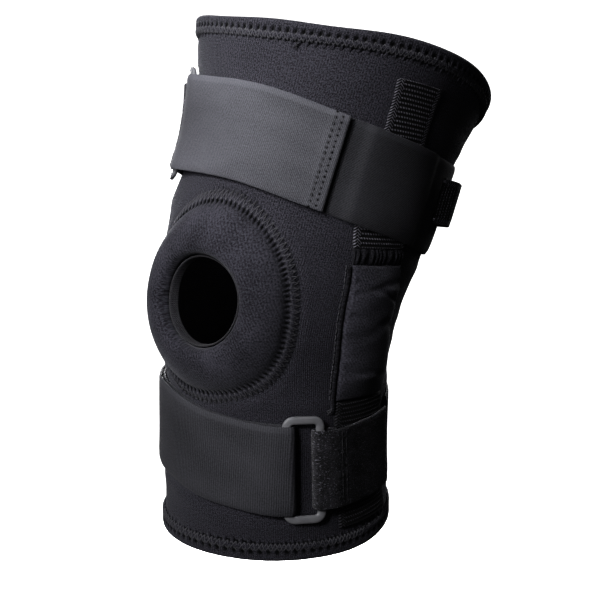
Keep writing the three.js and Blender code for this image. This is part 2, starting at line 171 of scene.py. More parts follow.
class KneeSleeveSizes(bpy.types.PropertyGroup):
    """Sizes of the sleeve and what is sewn to it"""

    height: length("Height", "Between the middles of the two rims", 230 * MM)
    knee_share: number("Knee share", "How far up the kneecap lies", 0.527)
    knee_width: length("Knee width", "Across the knee, side to side", 122 * MM)
    knee_depth: length("Knee depth", "Through the knee, front to back", 132 * MM)
    wall: length("Wall", "Thickness of the padded fabric", 3.5 * MM)
    clearance: length("Clearance", "Between pieces that lie on each other", 0.4 * MM)
    hem_depth: length("Hem depth", "How far the rims are turned over", 9 * MM)
    hem_wall: length("Hem wall", "Thickness of the turned-over edge", 0.9 * MM)
    pad_height: length("Pad height", "Outer seam of the kneecap pad, top to bottom", 101 * MM)
    pad_turn: number("Pad turn", "Half of the outer seam's width, in degrees", 44.5)
    pad_taper: number("Pad taper", "How much narrower it is above", 0.16)
    pad_rise: length("Pad rise", "How far the pad stands off the sleeve", 8.6 * MM)
    pad_seat: length("Pad seat", "Gap under the pad", 0.6 * MM)
    hole_height: length("Hole height", "Kneecap opening, top to bottom", 46.5 * MM)
    hole_turn: number("Hole turn", "Half of the opening's width, in degrees", 21.5)
    hole_shift: number("Hole shift", "How far the opening's middle lies to one side, in degrees", -1.5)
    binding_wall: length("Binding wall", "Thickness of the overlocked edge", 1.3 * MM)
    binding_rise: length("Binding rise", "How far the overlocked edge stands off the sleeve", 1.8 * MM)
    strap_wall: length("Strap wall", "Thickness of the straps", 1.6 * MM)
    upper_width: length("Upper strap width", "Width of the strap above the knee", 49 * MM)
    lower_width: length("Lower strap width", "Width of the strap below the knee", 46 * MM)
    strap_ease: length("Strap ease", "Length over which a folded strap comes down from its ring", 24 * MM)
    tab_narrowing: length("Tab narrowing", "How much narrower a tab is than its strap", 5 * MM)
    tab_wall: length("Tab wall", "Thickness of the tabs", 1.8 * MM)
    ring_bar: length("Ring bar", "Width of the rings' bars", 4.2 * MM)
    ring_thickness: length("Ring thickness", "Thickness of the rings", 2.6 * MM)
    ring_width: length("Ring width", "Width of the rings, outside", 20.5 * MM)
    ring_corner: length("Ring corner", "Corner radius at the middle of the bars", 3.6 * MM)
    ring_room: length("Ring room", "Between a strap's edge and its ring", 0.6 * MM)
    ring_play: length("Ring play", "Between a ring's bar and its fold", 0.5 * MM)
    bar_turn: number("Bar turn", "Where the bar lies that a strap is folded round, in degrees", 43)
    webbing_wall: length("Webbing wall", "Thickness of the ribbed elastic", 1.4 * MM)
    pocket_rise: length("Pocket rise", "Thickness of the padded pocket at its middle", 7 * MM)
    pocket_edge: length("Pocket edge", "Thickness of the padded pocket at its edges", 2.2 * MM)
    piping_width: length("Piping width", "Width of the raised line along the pocket", 2.2 * MM)
    loop_width: length("Rear loop width", "Width of the loop behind the outer side", 24 * MM)
    loop_rise: length("Rear loop rise", "How far the rear loop stands off the strap", 4.2 * MM)
    thread: length("Thread", "Radius of the sewing thread", 0.3 * MM)
    hem_pitch: length("Hem pitch", "Length of one zigzag of the hem stitch", 4.4 * MM)
    seam_pitch: length("Seam pitch", "Distance of the stitches of the pad's seam", 2.75 * MM)


class KneeSleeveColours(bpy.types.PropertyGroup):
    """Colours of the sleeve's materials"""

    knit: colour("Knit", "Jersey face of the sleeve", (0.05, 0.0485, 0.06))
    pad: colour("Pad", "Brushed jersey of the padded pieces", (0.05, 0.0485, 0.06))
    strap: colour("Strap", "Face of the straps", (0.105, 0.105, 0.119))
    pile: colour("Pile", "Loop pile of the tabs", (0.034, 0.033, 0.039))
    webbing: colour("Webbing", "Ribbed elastic", (0.042, 0.041, 0.048))
    thread: colour("Thread", "Sewing thread", (0.115, 0.113, 0.127))
    ring: colour("Ring", "Moulded plastic of the rings", (0.23, 0.23, 0.245))
    # Near-black painted shade in the needle holes
    pit: colour("Pit", "Needle holes and deep folds", (0.002, 0.002, 0.0025))
    floor: colour("Floor", "Pale studio floor", (0.86, 0.86, 0.86))


def follow(rows, key, where, column):
    """Smooth values of a table's column at places along it."""
    where = np.asarray(where, float)
    knots = np.array([getattr(row, key) for row in rows], float)
    values = np.array([getattr(row, column) for row in rows], float)
    last = len(rows) - 1
    before = np.maximum(np.arange(last + 1) - 1, 0)
    after = np.minimum(np.arange(last + 1) + 1, last)
    slopes = (values[after] - values[before]) / (knots[after] - knots[before])
    i = np.clip(np.searchsorted(knots, where, side="right") - 1, 0, last - 1)
    step = knots[i + 1] - knots[i]
    t = (where - knots[i]) / step
    cubic = (2 * t - 3) * t * t
    start = (1 + cubic) * values[i] + t * (1 - t) ** 2 * step * slopes[i]
    end = -cubic * values[i + 1] + t * t * (t - 1) * step * slopes[i + 1]
    return start + end


def ease(t):
    """From 0 to 1, level at both ends."""
    t = np.clip(t, 0, 1)
    return t * t * (3 - 2 * t)


def peak(distance, width):
    """1 at 0, falling off smoothly within about this width."""
    return np.exp(-(distance / width) ** 2)


def squared(wave, power):
    """A wave from -1 to 1 that is fuller the smaller the power is."""
    return np.sign(wave) * np.abs(wave) ** power


def wrapped(turn):
    """Turn brought back to between -180 and 180 degrees."""
    return (np.asarray(turn, float) + 180) % 360 - 180


def ripple(seed, turn, up, waves=14, fastest=7):
    """Seamless gentle unevenness from -1 to 1 over the sleeve."""
    draw = np.random.default_rng(seed)
    total = 0
    for _ in range(waves):
        around = draw.integers(0, fastest)
        along = draw.uniform(-fastest, fastest) * 1.3
        phase = draw.uniform(0, 2 * math.pi)
        total = total + np.sin(np.radians(turn) * around + 2 * math.pi * along * up + phase)
    return total / math.sqrt(2 * waves)


class Leg:
    """The sleeve's surface and the places on it, from the sizes in the scene."""

    def __init__(self, context):
        self.size = context.scene.knee_sleeve_sizes
        self.colour = context.scene.knee_sleeve_colours
        s = self.size
        self.rim_fold = s.hem_wall + s.clearance
        self.pad_middle = s.knee_share - PAD_DROP
        self.pad_share = self.share_of(s.pad_height, self.pad_middle, 0)
        self.hole_share = self.share_of(s.hole_height, self.pad_middle, 0)
        self.upper = Strap("upper", -1, UPPER_LINE, s.upper_width, 42.5, ((-98, -66), (55, 88)))
        self.lower = Strap("lower", 1, LOWER_LINE, s.lower_width, 84, ((-118, -73), (68, 109)))

    def on(self, up, turn, lift=0.0):
        """Points at a share up the height, a turn from the front and a lift off the outer face."""
        s = self.size
        up, turn, lift = np.broadcast_arrays(*(np.asarray(x, float) for x in (up, turn, lift)))
        u = np.radians(turn)
        value = {column: follow(SECTIONS, "up", up, column) for column in Section._fields[1:]}
        tilt = np.radians(value["tilt"])
        half_width = s.knee_width / 2 * value["wide"] + lift
        half_depth = s.knee_depth / 2 * value["deep"] + lift
        forward = half_depth * (np.cos(u) + value["egg"] * np.sin(u) ** 2)
        return np.stack([
            half_width * np.sin(u),
            s.height * value["back"] - forward * np.cos(tilt),
            s.height * (up - s.knee_share + value["saddle"] * np.cos(2 * u)) + forward * np.sin(tilt),
        ], -1)

    def share_of(self, length, up, turn):
        """Share of the height that a length along the leg takes."""
        nudge = 0.01
        span = self.on(np.asarray(up) + nudge / 2, turn) - self.on(np.asarray(up) - nudge / 2, turn)
        return length * nudge / np.linalg.norm(span, axis=-1)

    def turn_of(self, length, up, turn):
        """Degrees that a length round the leg takes."""
        span = self.on(up, np.asarray(turn) + 0.5) - self.on(up, np.asarray(turn) - 0.5)
        return length / np.linalg.norm(span, axis=-1)

    def outward(self, up, turn):
        """Unit normals of the surface."""
        nudge = 0.002
        along = self.on(np.asarray(up) + nudge, turn) - self.on(np.asarray(up) - nudge, turn)
        across = self.on(up, np.asarray(turn) + 0.5) - self.on(up, np.asarray(turn) - 0.5)
        normal = np.cross(across, along)
        return normal / np.linalg.norm(normal, axis=-1, keepdims=True)

    def pad_place(self, angle, reach, inset=0.0):
        """Share up and turn on the egg-shaped outlines from the hole's edge (0) to the outer seam (1)."""
        s = self.size
        upward = np.sin(angle)
        hole_up = self.hole_share / 2 - self.share_of(inset, self.pad_middle, 0)
        hole_side = s.hole_turn - self.turn_of(inset, self.pad_middle, 0)
        up = self.pad_middle + (hole_up + (self.pad_share / 2 - hole_up) * reach) * upward
        taper = 1 - s.pad_taper * reach * upward
        turn = (hole_side + (s.pad_turn - hole_side) * reach) * taper * np.cos(angle)
        return up, turn + s.hole_shift * (1 - reach)

    def seat(self, turn, raised):
        """Height at which a band lies, raised over the webbing and pocket between two turns."""
        place = wrapped(turn)
        share = np.zeros_like(place)
        for low, high in raised:
            rise = np.minimum(ease((place - low) / CLIMB + 1), ease((high - place) / CLIMB + 1))
            share = np.maximum(share, rise)
        return self.size.clearance + share * (self.size.webbing_wall + self.size.clearance)

    def middle(self, strap, turn):
        """Share of the height at which a strap's middle line lies."""
        return follow(strap.line, "turn", wrapped(turn), "up")

    def ring_lift(self, strap):
        """Lift of the middle of a strap's ring."""
        s = self.size
        seat = float(self.seat(strap.side * s.bar_turn, strap.raised))
        return seat + max(s.strap_wall, s.tab_wall) + s.ring_play + s.ring_thickness / 2

    def ring_degrees(self, strap):
        """Degrees that a metre round the leg takes at a strap's ring."""
        turn = strap.side * self.size.bar_turn
        return float(self.turn_of(1.0, self.middle(strap, turn), turn))

    def folded(self, strap, start, bar, end, heading, thickness):
        """Track of a band folded round a ring's bar: turn and lift of its under and its upper face."""
        s = self.size
        room = s.ring_thickness / 2 + s.ring_play
        per_metre = self.ring_degrees(strap)
        centre = bar + heading * (s.ring_bar - s.ring_thickness) / 2 * per_metre
        middle = self.ring_lift(strap)

        turn = stops(start, centre)
        low = self.seat(turn, strap.raised)
        below = np.stack([turn, low, turn, low + thickness], -1)

        angle = np.radians(np.linspace(-90, 90, 15)[1:-1])
        fold = np.stack([
            centre + heading * (room + thickness) * np.cos(angle) * per_metre,
            middle + (room + thickness) * np.sin(angle),
            centre + heading * room * np.cos(angle) * per_metre,
            middle + room * np.sin(angle),
        ], -1)

        turn = stops(centre, end)
        away = np.maximum(0, np.abs(turn - centre) / per_metre - s.ring_bar) / s.strap_ease
        doubled = (turn - start) * (turn - bar) < 0
        low = self.seat(turn, strap.raised) + np.where(doubled, thickness + s.clearance, 0)
        lift = middle + room + (low - middle - room) * ease(away)
        above = np.stack([turn, lift + thickness, turn, lift], -1)
        return np.concatenate([below, fold, above])


def stops(first, last, step=1.25):
    """Turns from first to last, about a step apart."""
    return np.linspace(first, last, max(3, int(abs(last - first) / step)))


def arc_length(points):
    """Distance along the first axis of the points."""
    steps = np.linalg.norm(np.diff(points, axis=0), axis=-1)
    return np.concatenate([np.zeros_like(steps[:1]), np.cumsum(steps, axis=0)])


class Cut:
    """Points and faces of one object while it is made up.

    Each face corner also has its place on the cloth in millimetres: across and along the knit or weave,
    and where a piece has a seam, a second pair, along and across the seam.
    """

    def __init__(self):
        self.points = []
        self.faces = []
        self.cloth = []
        self.finish = []
        self.count = 0

    def grid(self, points, cloth, close_rows=False, close_columns=False, caps=False, finish=None):
        """Adds a grid of points. cloth has one more row or column than the points where the grid is closed.
        finish numbers the material of each column."""
        rows, columns = points.shape[:2]
        index = np.arange(rows * columns).reshape(rows, columns)
        row, column = np.meshgrid(
            np.arange(rows if close_rows else rows - 1),
            np.arange(columns if close_columns else columns - 1),
            indexing="ij",
        )
        row = np.stack([row, row, row + 1, row + 1], -1).reshape(-1, 4)
        column = np.stack([column, column + 1, column + 1, column], -1).reshape(-1, 4)
        faces = list(index[row % rows, column % columns])
        places = list(cloth[row, column])
        marks = list(finish[column[:, 0]]) if finish is not None else [0] * len(faces)
        if caps:
            faces += [index[0, ::-1], index[-1]]
            places += [cloth[0, :columns][::-1], cloth[-1, :columns]]
            marks += [0, 0]
        flat = points.reshape(-1, 3)
        corners = flat[np.array([face[:4] for face in faces[:len(row)]])]
        first = np.einsum("ij,ij->i", corners[:, 0], np.cross(corners[:, 1], corners[:, 2]))
        second = np.einsum("ij,ij->i", corners[:, 0], np.cross(corners[:, 2], corners[:, 3]))
        if first.sum() + second.sum() < 0:
            faces = [face[::-1] for face in faces]
            places = [place[::-1] for place in places]
        self.points.append(flat)
        self.faces += [(face + self.count).tolist() for face in faces]
        self.cloth += places
        self.finish += marks
        self.count += len(flat)

    def tubes(self, paths, out, radius, sides=6, flat=1.0):
        """Adds threads along paths (thread, point, xyz). out points away from the cloth at each point."""
        tangent = np.gradient(paths, axis=1)
        tangent /= np.linalg.norm(tangent, axis=-1, keepdims=True)
        aside = np.cross(tangent, out)
        aside /= np.linalg.norm(aside, axis=-1, keepdims=True)
        above = np.cross(aside, tangent)
        angle = np.arange(sides) * 2 * math.pi / sides
        ring = aside[:, :, None] * np.cos(angle)[:, None] + above[:, :, None] * np.sin(angle)[:, None] * flat
        radius = np.broadcast_to(radius, paths.shape[:2])[:, :, None, None]
        skin = paths[:, :, None] + ring * radius
        around = np.arange(sides + 1) / sides
        for path, points in zip(paths, skin):
            cloth = np.stack(np.meshgrid(arc_length(path) / MM, around, indexing="ij"), -1)
            self.grid(points, cloth, close_columns=True, caps=True)

    def build(self, context, name, materials, colour_slot):
        """Makes the object, shades it smooth and lets it ride on the part."""
        mesh = bpy.data.meshes.new(name)
        mesh.from_pydata(np.concatenate(self.points).tolist(), [], self.faces)
        places = np.concatenate(self.cloth)
        for column, name_of_map in ((0, CLOTH_MAP), (2, SEAM_MAP))[:places.shape[1] // 2]:
            layer = mesh.uv_layers.new(name=name_of_map)
            layer.data.foreach_set("uv", places[:, column:column + 2].ravel())
        mesh.shade_smooth()
        for material in materials if isinstance(materials, tuple) else (materials,):
            mesh.materials.append(material)
        mesh.polygons.foreach_set("material_index", [int(mark) for mark in self.finish])
        piece = bpy.data.objects.new(name, mesh)
        context.collection.objects.link(piece)
        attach(piece, "root")
        return piece


class Signal:
    """A number on its way through a shader, which can be added, multiplied and compared like any other."""

    def __init__(self, shader, socket):
        self.shader = shader
        self.socket = socket

    def math(self, operation, *others):
        node = self.shader.node("ShaderNodeMath", {"operation": operation}, dict(enumerate((self, *others))))
        return Signal(self.shader, node.outputs[0])

    def __add__(self, other):
        return self.math("ADD", other)

    __radd__ = __add__

    def __mul__(self, other):
        return self.math("MULTIPLY", other)

    __rmul__ = __mul__

    def __sub__(self, other):
        return self.math("SUBTRACT", other)

    def __rsub__(self, other):
        return self * -1 + other

    def __truediv__(self, other):
        return self.math("DIVIDE", other)

    def __abs__(self):
        return self.math("ABSOLUTE")

    def clamp(self, low=0, high=1):
        return self.math("MAXIMUM", low).math("MINIMUM", high)

    def wave(self):
        """From -1 to 1 and back, once for each whole number."""
        return (self * 2 * math.pi).math("SINE")

    def saw(self):
        """From -0.5 to 0.5, once for each whole number, 0 halfway."""
        return self.math("FRACT") - 0.5

    def peak(self, width):
        """1 at 0, falling off smoothly within about this width."""
        near = self / width
        return (near * near * -1).math("EXPONENT")


class Shader:
    """A material while its nodes are put together."""

    def __init__(self, name):
        self.material = bpy.data.materials.new(name)
        self.material.use_nodes = True
        self.tree = self.material.node_tree
        self.tree.nodes.clear()
        self.place, self.u, self.v = self.map(CLOTH_MAP)

    def map(self, name):
        """Place on one of the maps in millimetres, and its two parts."""
        place = self.node("ShaderNodeUVMap", {"uv_map": name})
        split = self.node("ShaderNodeSeparateXYZ", {}, {0: place.outputs[0]})
        return place.outputs[0], Signal(self, split.outputs[0]), Signal(self, split.outputs[1])

    def node(self, kind, settings=None, inputs=None):
        node = self.tree.nodes.new(kind)
        for name, value in (settings or {}).items():
            setattr(node, name, value)
        for name, value in (inputs or {}).items():
            if isinstance(value, Signal):
                value = value.socket
            if isinstance(value, bpy.types.NodeSocket):
                self.tree.links.new(value, node.inputs[name])
            else:
                node.inputs[name].default_value = value
        return node

    def noise(self, per_mm, detail=3, stretch=(1, 1), rough=0.5):
        """Noise from about -1 to 1 over the cloth."""
        sized = self.node(
            "ShaderNodeVectorMath", {"operation": "MULTIPLY"}, {0: self.place, 1: (*stretch, 1)}
        )
        sockets = {"Vector": sized.outputs[0], "Scale": per_mm, "Detail": detail, "Roughness": rough}
        return Signal(self, self.node("ShaderNodeTexNoise", {}, sockets).outputs[0]) * 4 - 2

    def mix(self, factor, first, second):
        """A colour between two."""
        ends = {6: (*first, 1) if isinstance(first, tuple) else first}
        ends[7] = (*second, 1) if isinstance(second, tuple) else second
        node = self.node("ShaderNodeMix", {"data_type": "RGBA"}, {0: factor, **ends})
        return node.outputs[2]

    def finish(self, colour, height=None, depth=0.1, rough=0.9, **constants):
        """Joins colour, roughness and a height in millimetres times depth to a Principled shader."""
        settings = {"Base Color": (*colour, 1) if isinstance(colour, tuple) else colour, "Roughness": rough}
        settings.update({name.replace("_", " "): value for name, value in constants.items()})
        if height is not None:
            bump = self.node("ShaderNodeBump", {}, {"Height": height, "Distance": depth * MM})
            settings["Normal"] = bump.outputs[0]
        surface = self.node("ShaderNodeBsdfPrincipled", {}, settings)
        self.node("ShaderNodeOutputMaterial", {}, {"Surface": surface.outputs[0]})
        return self.material


def once(recipe):
    """Keeps a material that is used by several operators."""
    def made(leg):
        name = recipe.__name__ + "_look"
        return bpy.data.materials.get(name) or recipe(leg, Shader(name))
    return made


def dim(colour, share):
    """A colour at a share of its brightness."""
    return tuple(share * channel for channel in colour)


class Row(namedtuple("Row", "across shift wide long slant")):
    """A row of needle holes: its place across the seam and its shift along it in stitches, and the holes'
    size and slant, in millimetres."""

    def depth(self, u, v, pitch):
        """Depth of the holes, from 0 to 1, at places along and across the seam in millimetres."""
        v = v - self.across
        u = (u / pitch - self.shift) - self.slant * v / pitch
        if isinstance(u, Signal):
            return (u.saw() * pitch).peak(self.wide) * v.peak(self.long)
        near = (u - np.floor(u) - 0.5) * pitch
        return np.exp(-(near / self.wide) ** 2 - (v / self.long) ** 2)


HEM_ROWS = [
    Row(5.6, 0, 1.15, 1.35, 0), Row(11.1, 0.2, 0.95, 1.7, 0.6), Row(11.1, 0.2, 0.85, 1.6, -0.9),
]
PAD_ROWS = [Row(-3.5, 0, 0.74, 1.5, 0.15), Row(3, 0.1, 0.8, 1.7, 0.15)]
END_ROWS = [Row(3.7, 0, 0.55, 0.5, 0), Row(7, 0.5, 0.75, 0.65, 0)]


def holes(shader, rows, pitch):
    """Needle holes of a seam, from 0 to 1, unevenly deep."""
    _, u, v = shader.map(SEAM_MAP)
    u = u + shader.noise(0.12, 1) * 0.4
    depth = 0
    for row in rows:
        depth = row.depth(u, v, pitch) + depth
    return (depth * (1.35 + shader.noise(0.2, 1) * 0.4)).clamp()


def pierced(leg, shader, pits, colour, height):
    """Colour and height of a look with holes in it, dented and painted near black as shade."""
    return shader.mix(pits, colour, tuple(leg.colour.pit)), height - pits * 4


def jersey(leg, shader, pits=None, shade=1):
    """Fine jersey with upright ribs and short slanting loops."""
    u, v = shader.u, shader.v
    sway = shader.noise(0.08, 2) * 0.25
    rib = u / 1.2 + sway
    loops = (v / 0.95 + abs(rib.saw()) * 1.3).wave()
    grain = shader.noise(1.6, 3, rough=0.75)
    height = rib.wave() * 0.6 + loops * 0.4 + grain * 0.6
    # Tone follows the ribs and loops: painted shade in their valleys and painted light on their crests, over
    # random grain.
    tone = (0.5 + rib.wave() * 0.12 + loops * 0.08 + grain * 1.3 + shader.noise(0.09, 3) * 0.06).clamp()
    colour = shader.mix(tone, dim(leg.colour.knit, 0.25 * shade), dim(leg.colour.knit, 1.8 * shade))
    if pits:
        colour, height = pierced(leg, shader, pits, colour, height)
    return shader.finish(
        colour, height, depth=0.13, rough=0.86, Sheen_Weight=0.25, Sheen_Roughness=0.45,
        Sheen_Tint=(0.55, 0.56, 0.6, 1), Specular_IOR_Level=0.25,
    )


@once
def knit(leg, shader):
    return jersey(leg, shader)


@once
def gathered(leg, shader):
    """The same jersey, dimmed as painted shade: the shade deep in the gather's folds and along the pockets'
    piping.
    """
    return jersey(leg, shader, shade=0.38)


@once
def hem_knit(leg, shader):
    return jersey(leg, shader, holes(shader, HEM_ROWS, leg.size.hem_pitch / MM))


def brushed(leg, shader, pits=None):
    """Brushed jersey, smoother than the sleeve, with a faint diagonal."""
    u, v = shader.u, shader.v
    slant = ((u + v * 0.6) / 1.5 + shader.noise(0.1, 2) * 0.3).wave()
    fuzz = shader.noise(1.2, 3, rough=0.75)
    tone = (0.5 + slant * 0.12 + fuzz * 0.9 + shader.noise(0.06, 2) * 0.25).clamp()
    colour = shader.mix(tone, dim(leg.colour.pad, 0.3), dim(leg.colour.pad, 1.7))
    height = slant * 0.5 + fuzz * 0.9
    if pits:
        colour, height = pierced(leg, shader, pits, colour, height)
    return shader.finish(
        colour, height, depth=0.06, rough=0.9, Sheen_Weight=0.3, Sheen_Roughness=0.5,
        Sheen_Tint=(0.55, 0.56, 0.6, 1), Specular_IOR_Level=0.2,
    )


@once
def pad_knit(leg, shader):
    return brushed(leg, shader)


@once
def seamed_pad(leg, shader):
    return brushed(leg, shader, holes(shader, PAD_ROWS, leg.size.seam_pitch / MM))


def woven(leg, shader, strap, slant, pitch, shade=1):
    """Face of a strap: fine cords at a slant, crossed by weft, with needle holes along its sewn end and a
    painted highlight along its upper rolled edge.
    """
    u, v = shader.u, shader.v
    cords = (u + v * slant) / pitch + shader.noise(0.15, 2) * 0.12
    weft = (v * 1.1 - u * slant * 0.4) / (pitch * 0.62)
    weave = cords.wave() * 0.7 + (weft + cords.wave() * 0.2).wave() * 0.4
    grain = shader.noise(1.3, 3, rough=0.75)
    wear = shader.noise(0.035, 3, stretch=(0.5, 1))
    tone = (0.5 + weave * 0.26 + grain * 0.4 + wear * 0.2).clamp()
    colour = shader.mix(tone, dim(leg.colour.strap, 0.3 * shade), dim(leg.colour.strap, 1.7 * shade))
    # Painted highlight: a band along the strap's upper rolled edge is painted lighter, where the light from
    # above catches it.
    rolled = (v - (strap.width / MM / 2 - 3.6)).clamp() * 0.35
    colour = shader.mix(rolled, colour, dim(leg.colour.strap, 1.7 * shade))
    pits = holes(shader, END_ROWS, END_PITCH)
    colour, height = pierced(leg, shader, pits, colour, weave + grain * 0.4)
    return shader.finish(
        colour, height, depth=0.07, rough=0.8, Sheen_Weight=0.2, Sheen_Roughness=0.4,
        Sheen_Tint=(0.6, 0.6, 0.63, 1), Specular_IOR_Level=0.3,
    )


@once
def strap_twill(leg, shader):
    return woven(leg, shader, leg.upper, 0.8, 1.25)


@once
def strap_rib(leg, shader):
    return woven(leg, shader, leg.lower, 0.05, 1.15, shade=0.62)


@once
def strap_back(leg, shader):
    """The straps' other face, the same weave dimmed: a slightly darker face with painted shade on top, where
    the under layer runs round the leg away from the light.
    """
    return woven(leg, shader, leg.upper, 0.8, 1.25, shade=0.45)


@once
def loop_pile(leg, shader):
    """Felted loops with light specks."""
    curls = shader.node(
        "ShaderNodeTexVoronoi", {"feature": "SMOOTH_F1"},
        {"Vector": shader.place, "Scale": 1.25, "Smoothness": 0.5},
    )
    curl = Signal(shader, curls.outputs[0])
    fuzz = shader.noise(2.2, 4, rough=0.75)
    patchy = shader.noise(0.12, 3)
    tone = (0.45 + fuzz * 1.1 + patchy * 0.4 - curl * 0.3).clamp()
    colour = shader.mix(tone, dim(leg.colour.pile, 0.1), dim(leg.colour.pile, 2.8))
    specks = (shader.noise(1.1, 2) * 7 - 2.8).clamp()
    colour = shader.mix(specks, colour, dim(leg.colour.pile, 6))
    return shader.finish(
        colour, fuzz * 0.8 - curl, depth=0.3, rough=0.95, Sheen_Weight=0.35, Sheen_Roughness=0.6,
        Sheen_Tint=(0.6, 0.6, 0.62, 1), Specular_IOR_Level=0.15,
    )


def ribbed(leg, shader, shade=1):
    """Ribbed elastic: pale slanting stitches on the ribs' crests and dark valleys between them, partly lighter
    yarn and partly painted highlight and painted shade, with a border of two knitted columns.
    """
    u, v = shader.u, shader.v
    _, edge, _ = shader.map(SEAM_MAP)
    rib = (v / RIB_PITCH).wave()
    yarn = ((u + v * 0.45) / 1.5 + shader.noise(0.4, 2) * 0.12).wave()
    ladder = ((v + abs((edge - 1.7) * 0.9)) / 1.5).wave()
    border = (edge - 3.4).math("LESS_THAN", 0)
    # Painted highlight and shade: the stitches are pale only on the ribs' crests, and the valleys are painted
    # nearly black.
    stitch = (rib * 1.7 - 0.3).clamp() * (0.5 + yarn * 0.6).clamp()
    knitted = (ladder * 1.3).clamp() * (0.8 + (edge / 1.7).wave() * 0.2)
    tone = border * knitted + (1 - border) * stitch
    tone = (tone * (0.85 + shader.noise(0.5, 3, rough=0.7) * 0.5)).clamp()
    colour = shader.mix(tone, dim(leg.colour.webbing, 0.08 * shade), dim(leg.colour.webbing, 6 * shade))
    return shader.finish(
        colour, tone, depth=0.22, rough=0.8, Sheen_Weight=0.2,
        Sheen_Roughness=0.5, Sheen_Tint=(0.6, 0.6, 0.62, 1), Specular_IOR_Level=0.3,
    )


@once
def elastic(leg, shader):
    return ribbed(leg, shader)


# The ribbed elastic dimmed to about a third, as painted shade on the lower webbing.
@once
def elastic_low(leg, shader):
    return ribbed(leg, shader, shade=0.35)


def twisted(leg, shader, contrast, dark, pale, rough, shine):
    """Twisted sewing thread. u runs along it and v round it, once."""
    twist = (shader.u / 0.55 + shader.v).wave()
    tone = (0.5 + twist * contrast + shader.noise(1.4, 2) * 0.25).clamp()
    colour = shader.mix(tone, dim(leg.colour.thread, dark), dim(leg.colour.thread, pale))
    return shader.finish(
        colour, twist, depth=0.06, rough=rough, Sheen_Weight=0.1, Sheen_Roughness=0.4,
        Specular_IOR_Level=shine,
    )


@once
def thread(leg, shader):
    return twisted(leg, shader, contrast=0.35, dark=0.5, pale=1.3, rough=0.6, shine=0.4)


@once
def thread_dark(leg, shader):
    """Sewing thread of the darker seams."""
    return twisted(leg, shader, contrast=0.3, dark=0.15, pale=0.9, rough=0.7, shine=0.3)


@once
def moulded(leg, shader):
    """Satin plastic with a faintly eroded face."""
    cloudy = shader.noise(0.25, 3)
    speck = shader.noise(3, 3, rough=0.7)
    colour = shader.mix((0.5 + cloudy * 0.4).clamp(), dim(leg.colour.ring, 0.85), dim(leg.colour.ring, 1.1))
    return shader.finish(
        colour, speck, depth=0.015, rough=(0.42 + speck * 0.05 + cloudy * 0.03), Specular_IOR_Level=0.5
    )


def evenly(points, count):
    """Fractional indices of places evenly spaced along a curve of points."""
    along = arc_length(points)
    return np.interp(np.linspace(0, along[-1], count), along, np.arange(len(points)))


def between(values, place):
    """Values at fractional indices."""
    low = np.clip(np.floor(place).astype(int), 0, len(values) - 2)
    share = (place - low).reshape(-1, *[1] * (values.ndim - 1))
    return values[low] * (1 - share) + values[low + 1] * share


def dashes(curve, out, pitch, share=0.8, sink=0.35 * MM, crown=0.15 * MM):
    """Paths of a row of straight stitches along a curve, with their outward directions."""
    along = arc_length(curve)
    count = max(1, int(round(along[-1] / pitch)))
    t = np.linspace(0, 1, 8)
    place = (np.arange(count)[:, None] + 0.5 + (t - 0.5) * share) / count * along[-1]
    index = np.interp(place, along, np.arange(len(curve))).ravel()
    path = between(curve, index).reshape(count, len(t), 3)
    normal = between(out, index).reshape(count, len(t), 3)
    dip = crown * np.sin(np.pi * t) ** 0.5 - sink * np.abs(2 * t - 1) ** 4
    return path + normal * dip[:, None], normal


def zigzag(one, other, out, count, crown, sink=0.35 * MM, lead=0.5):
    """Paths of stitches that go back and forth between two curves of points."""
    stitch = np.arange(count)
    last = len(one) - 1
    t = np.linspace(0, 1, 9)
    here = between(one, stitch / count * last)
    there = between(other, np.minimum(stitch + lead, count) / count * last)
    following = between(one, np.minimum(stitch + 1, count) / count * last)
    start = np.concatenate([here, there])
    end = np.concatenate([there, following])
    normal = np.concatenate([between(out, stitch / count * last)] * 2)
    normal = np.repeat(normal[:, None], len(t), 1)
    path = start[:, None] + (end - start)[:, None] * t[:, None]
    dip = crown * np.sin(np.pi * t) ** 0.6 - sink * np.abs(2 * t - 1) ** 4
    return path + normal * dip[:, None], normal


def relief(leg, up, turn):
    """Unevenness of the sleeve: soft dents, swellings beside the straps and the pull of the pad's seam."""
    s = leg.size
    swell = 0
    for strap in (leg.upper, leg.lower):
        aside = (np.abs(up - leg.middle(strap, turn)) * s.height - strap.width / 2) / MM
        swell = swell + 0.55 * peak(aside - 6, 4) - 0.25 * ease(-aside / 4)
    high = (up - leg.pad_middle) / (leg.pad_share / 2)
    reach = np.hypot(high, wrapped(turn) / (s.pad_turn * (1 - s.pad_taper * high)))
    pull = 0.35 * peak(reach - 1.13, 0.05)
    creases = 0
    knee_pit = np.exp(-((np.abs(wrapped(turn)) - 180) / 55) ** 2 - ((up - 0.46) / 0.16) ** 2)
    for place, slant, deep in KNEE_PIT:
        bent = up - place - slant * np.cos(np.radians(turn) * 1.5) - 0.008 * np.sin(np.radians(turn * 5))
        creases = creases - deep * peak(bent, 0.011)
        creases = creases + 0.5 * deep * peak(bent - 0.028, 0.016)
    soft = 0.35 * ripple(3, turn, up) * (1 - peak(reach - 1, 0.3))
    return (soft + swell * (reach > 1) + pull + creases * knee_pit * 1.1) * MM


def cloth_of(leg, up, turn):
    """Places across and along the knit, in millimetres."""
    girth = np.pi * (leg.size.knee_width + leg.size.knee_depth) / 2
    return np.stack(np.broadcast_arrays(turn / 360 * girth / MM, up * leg.size.height / MM), -1)


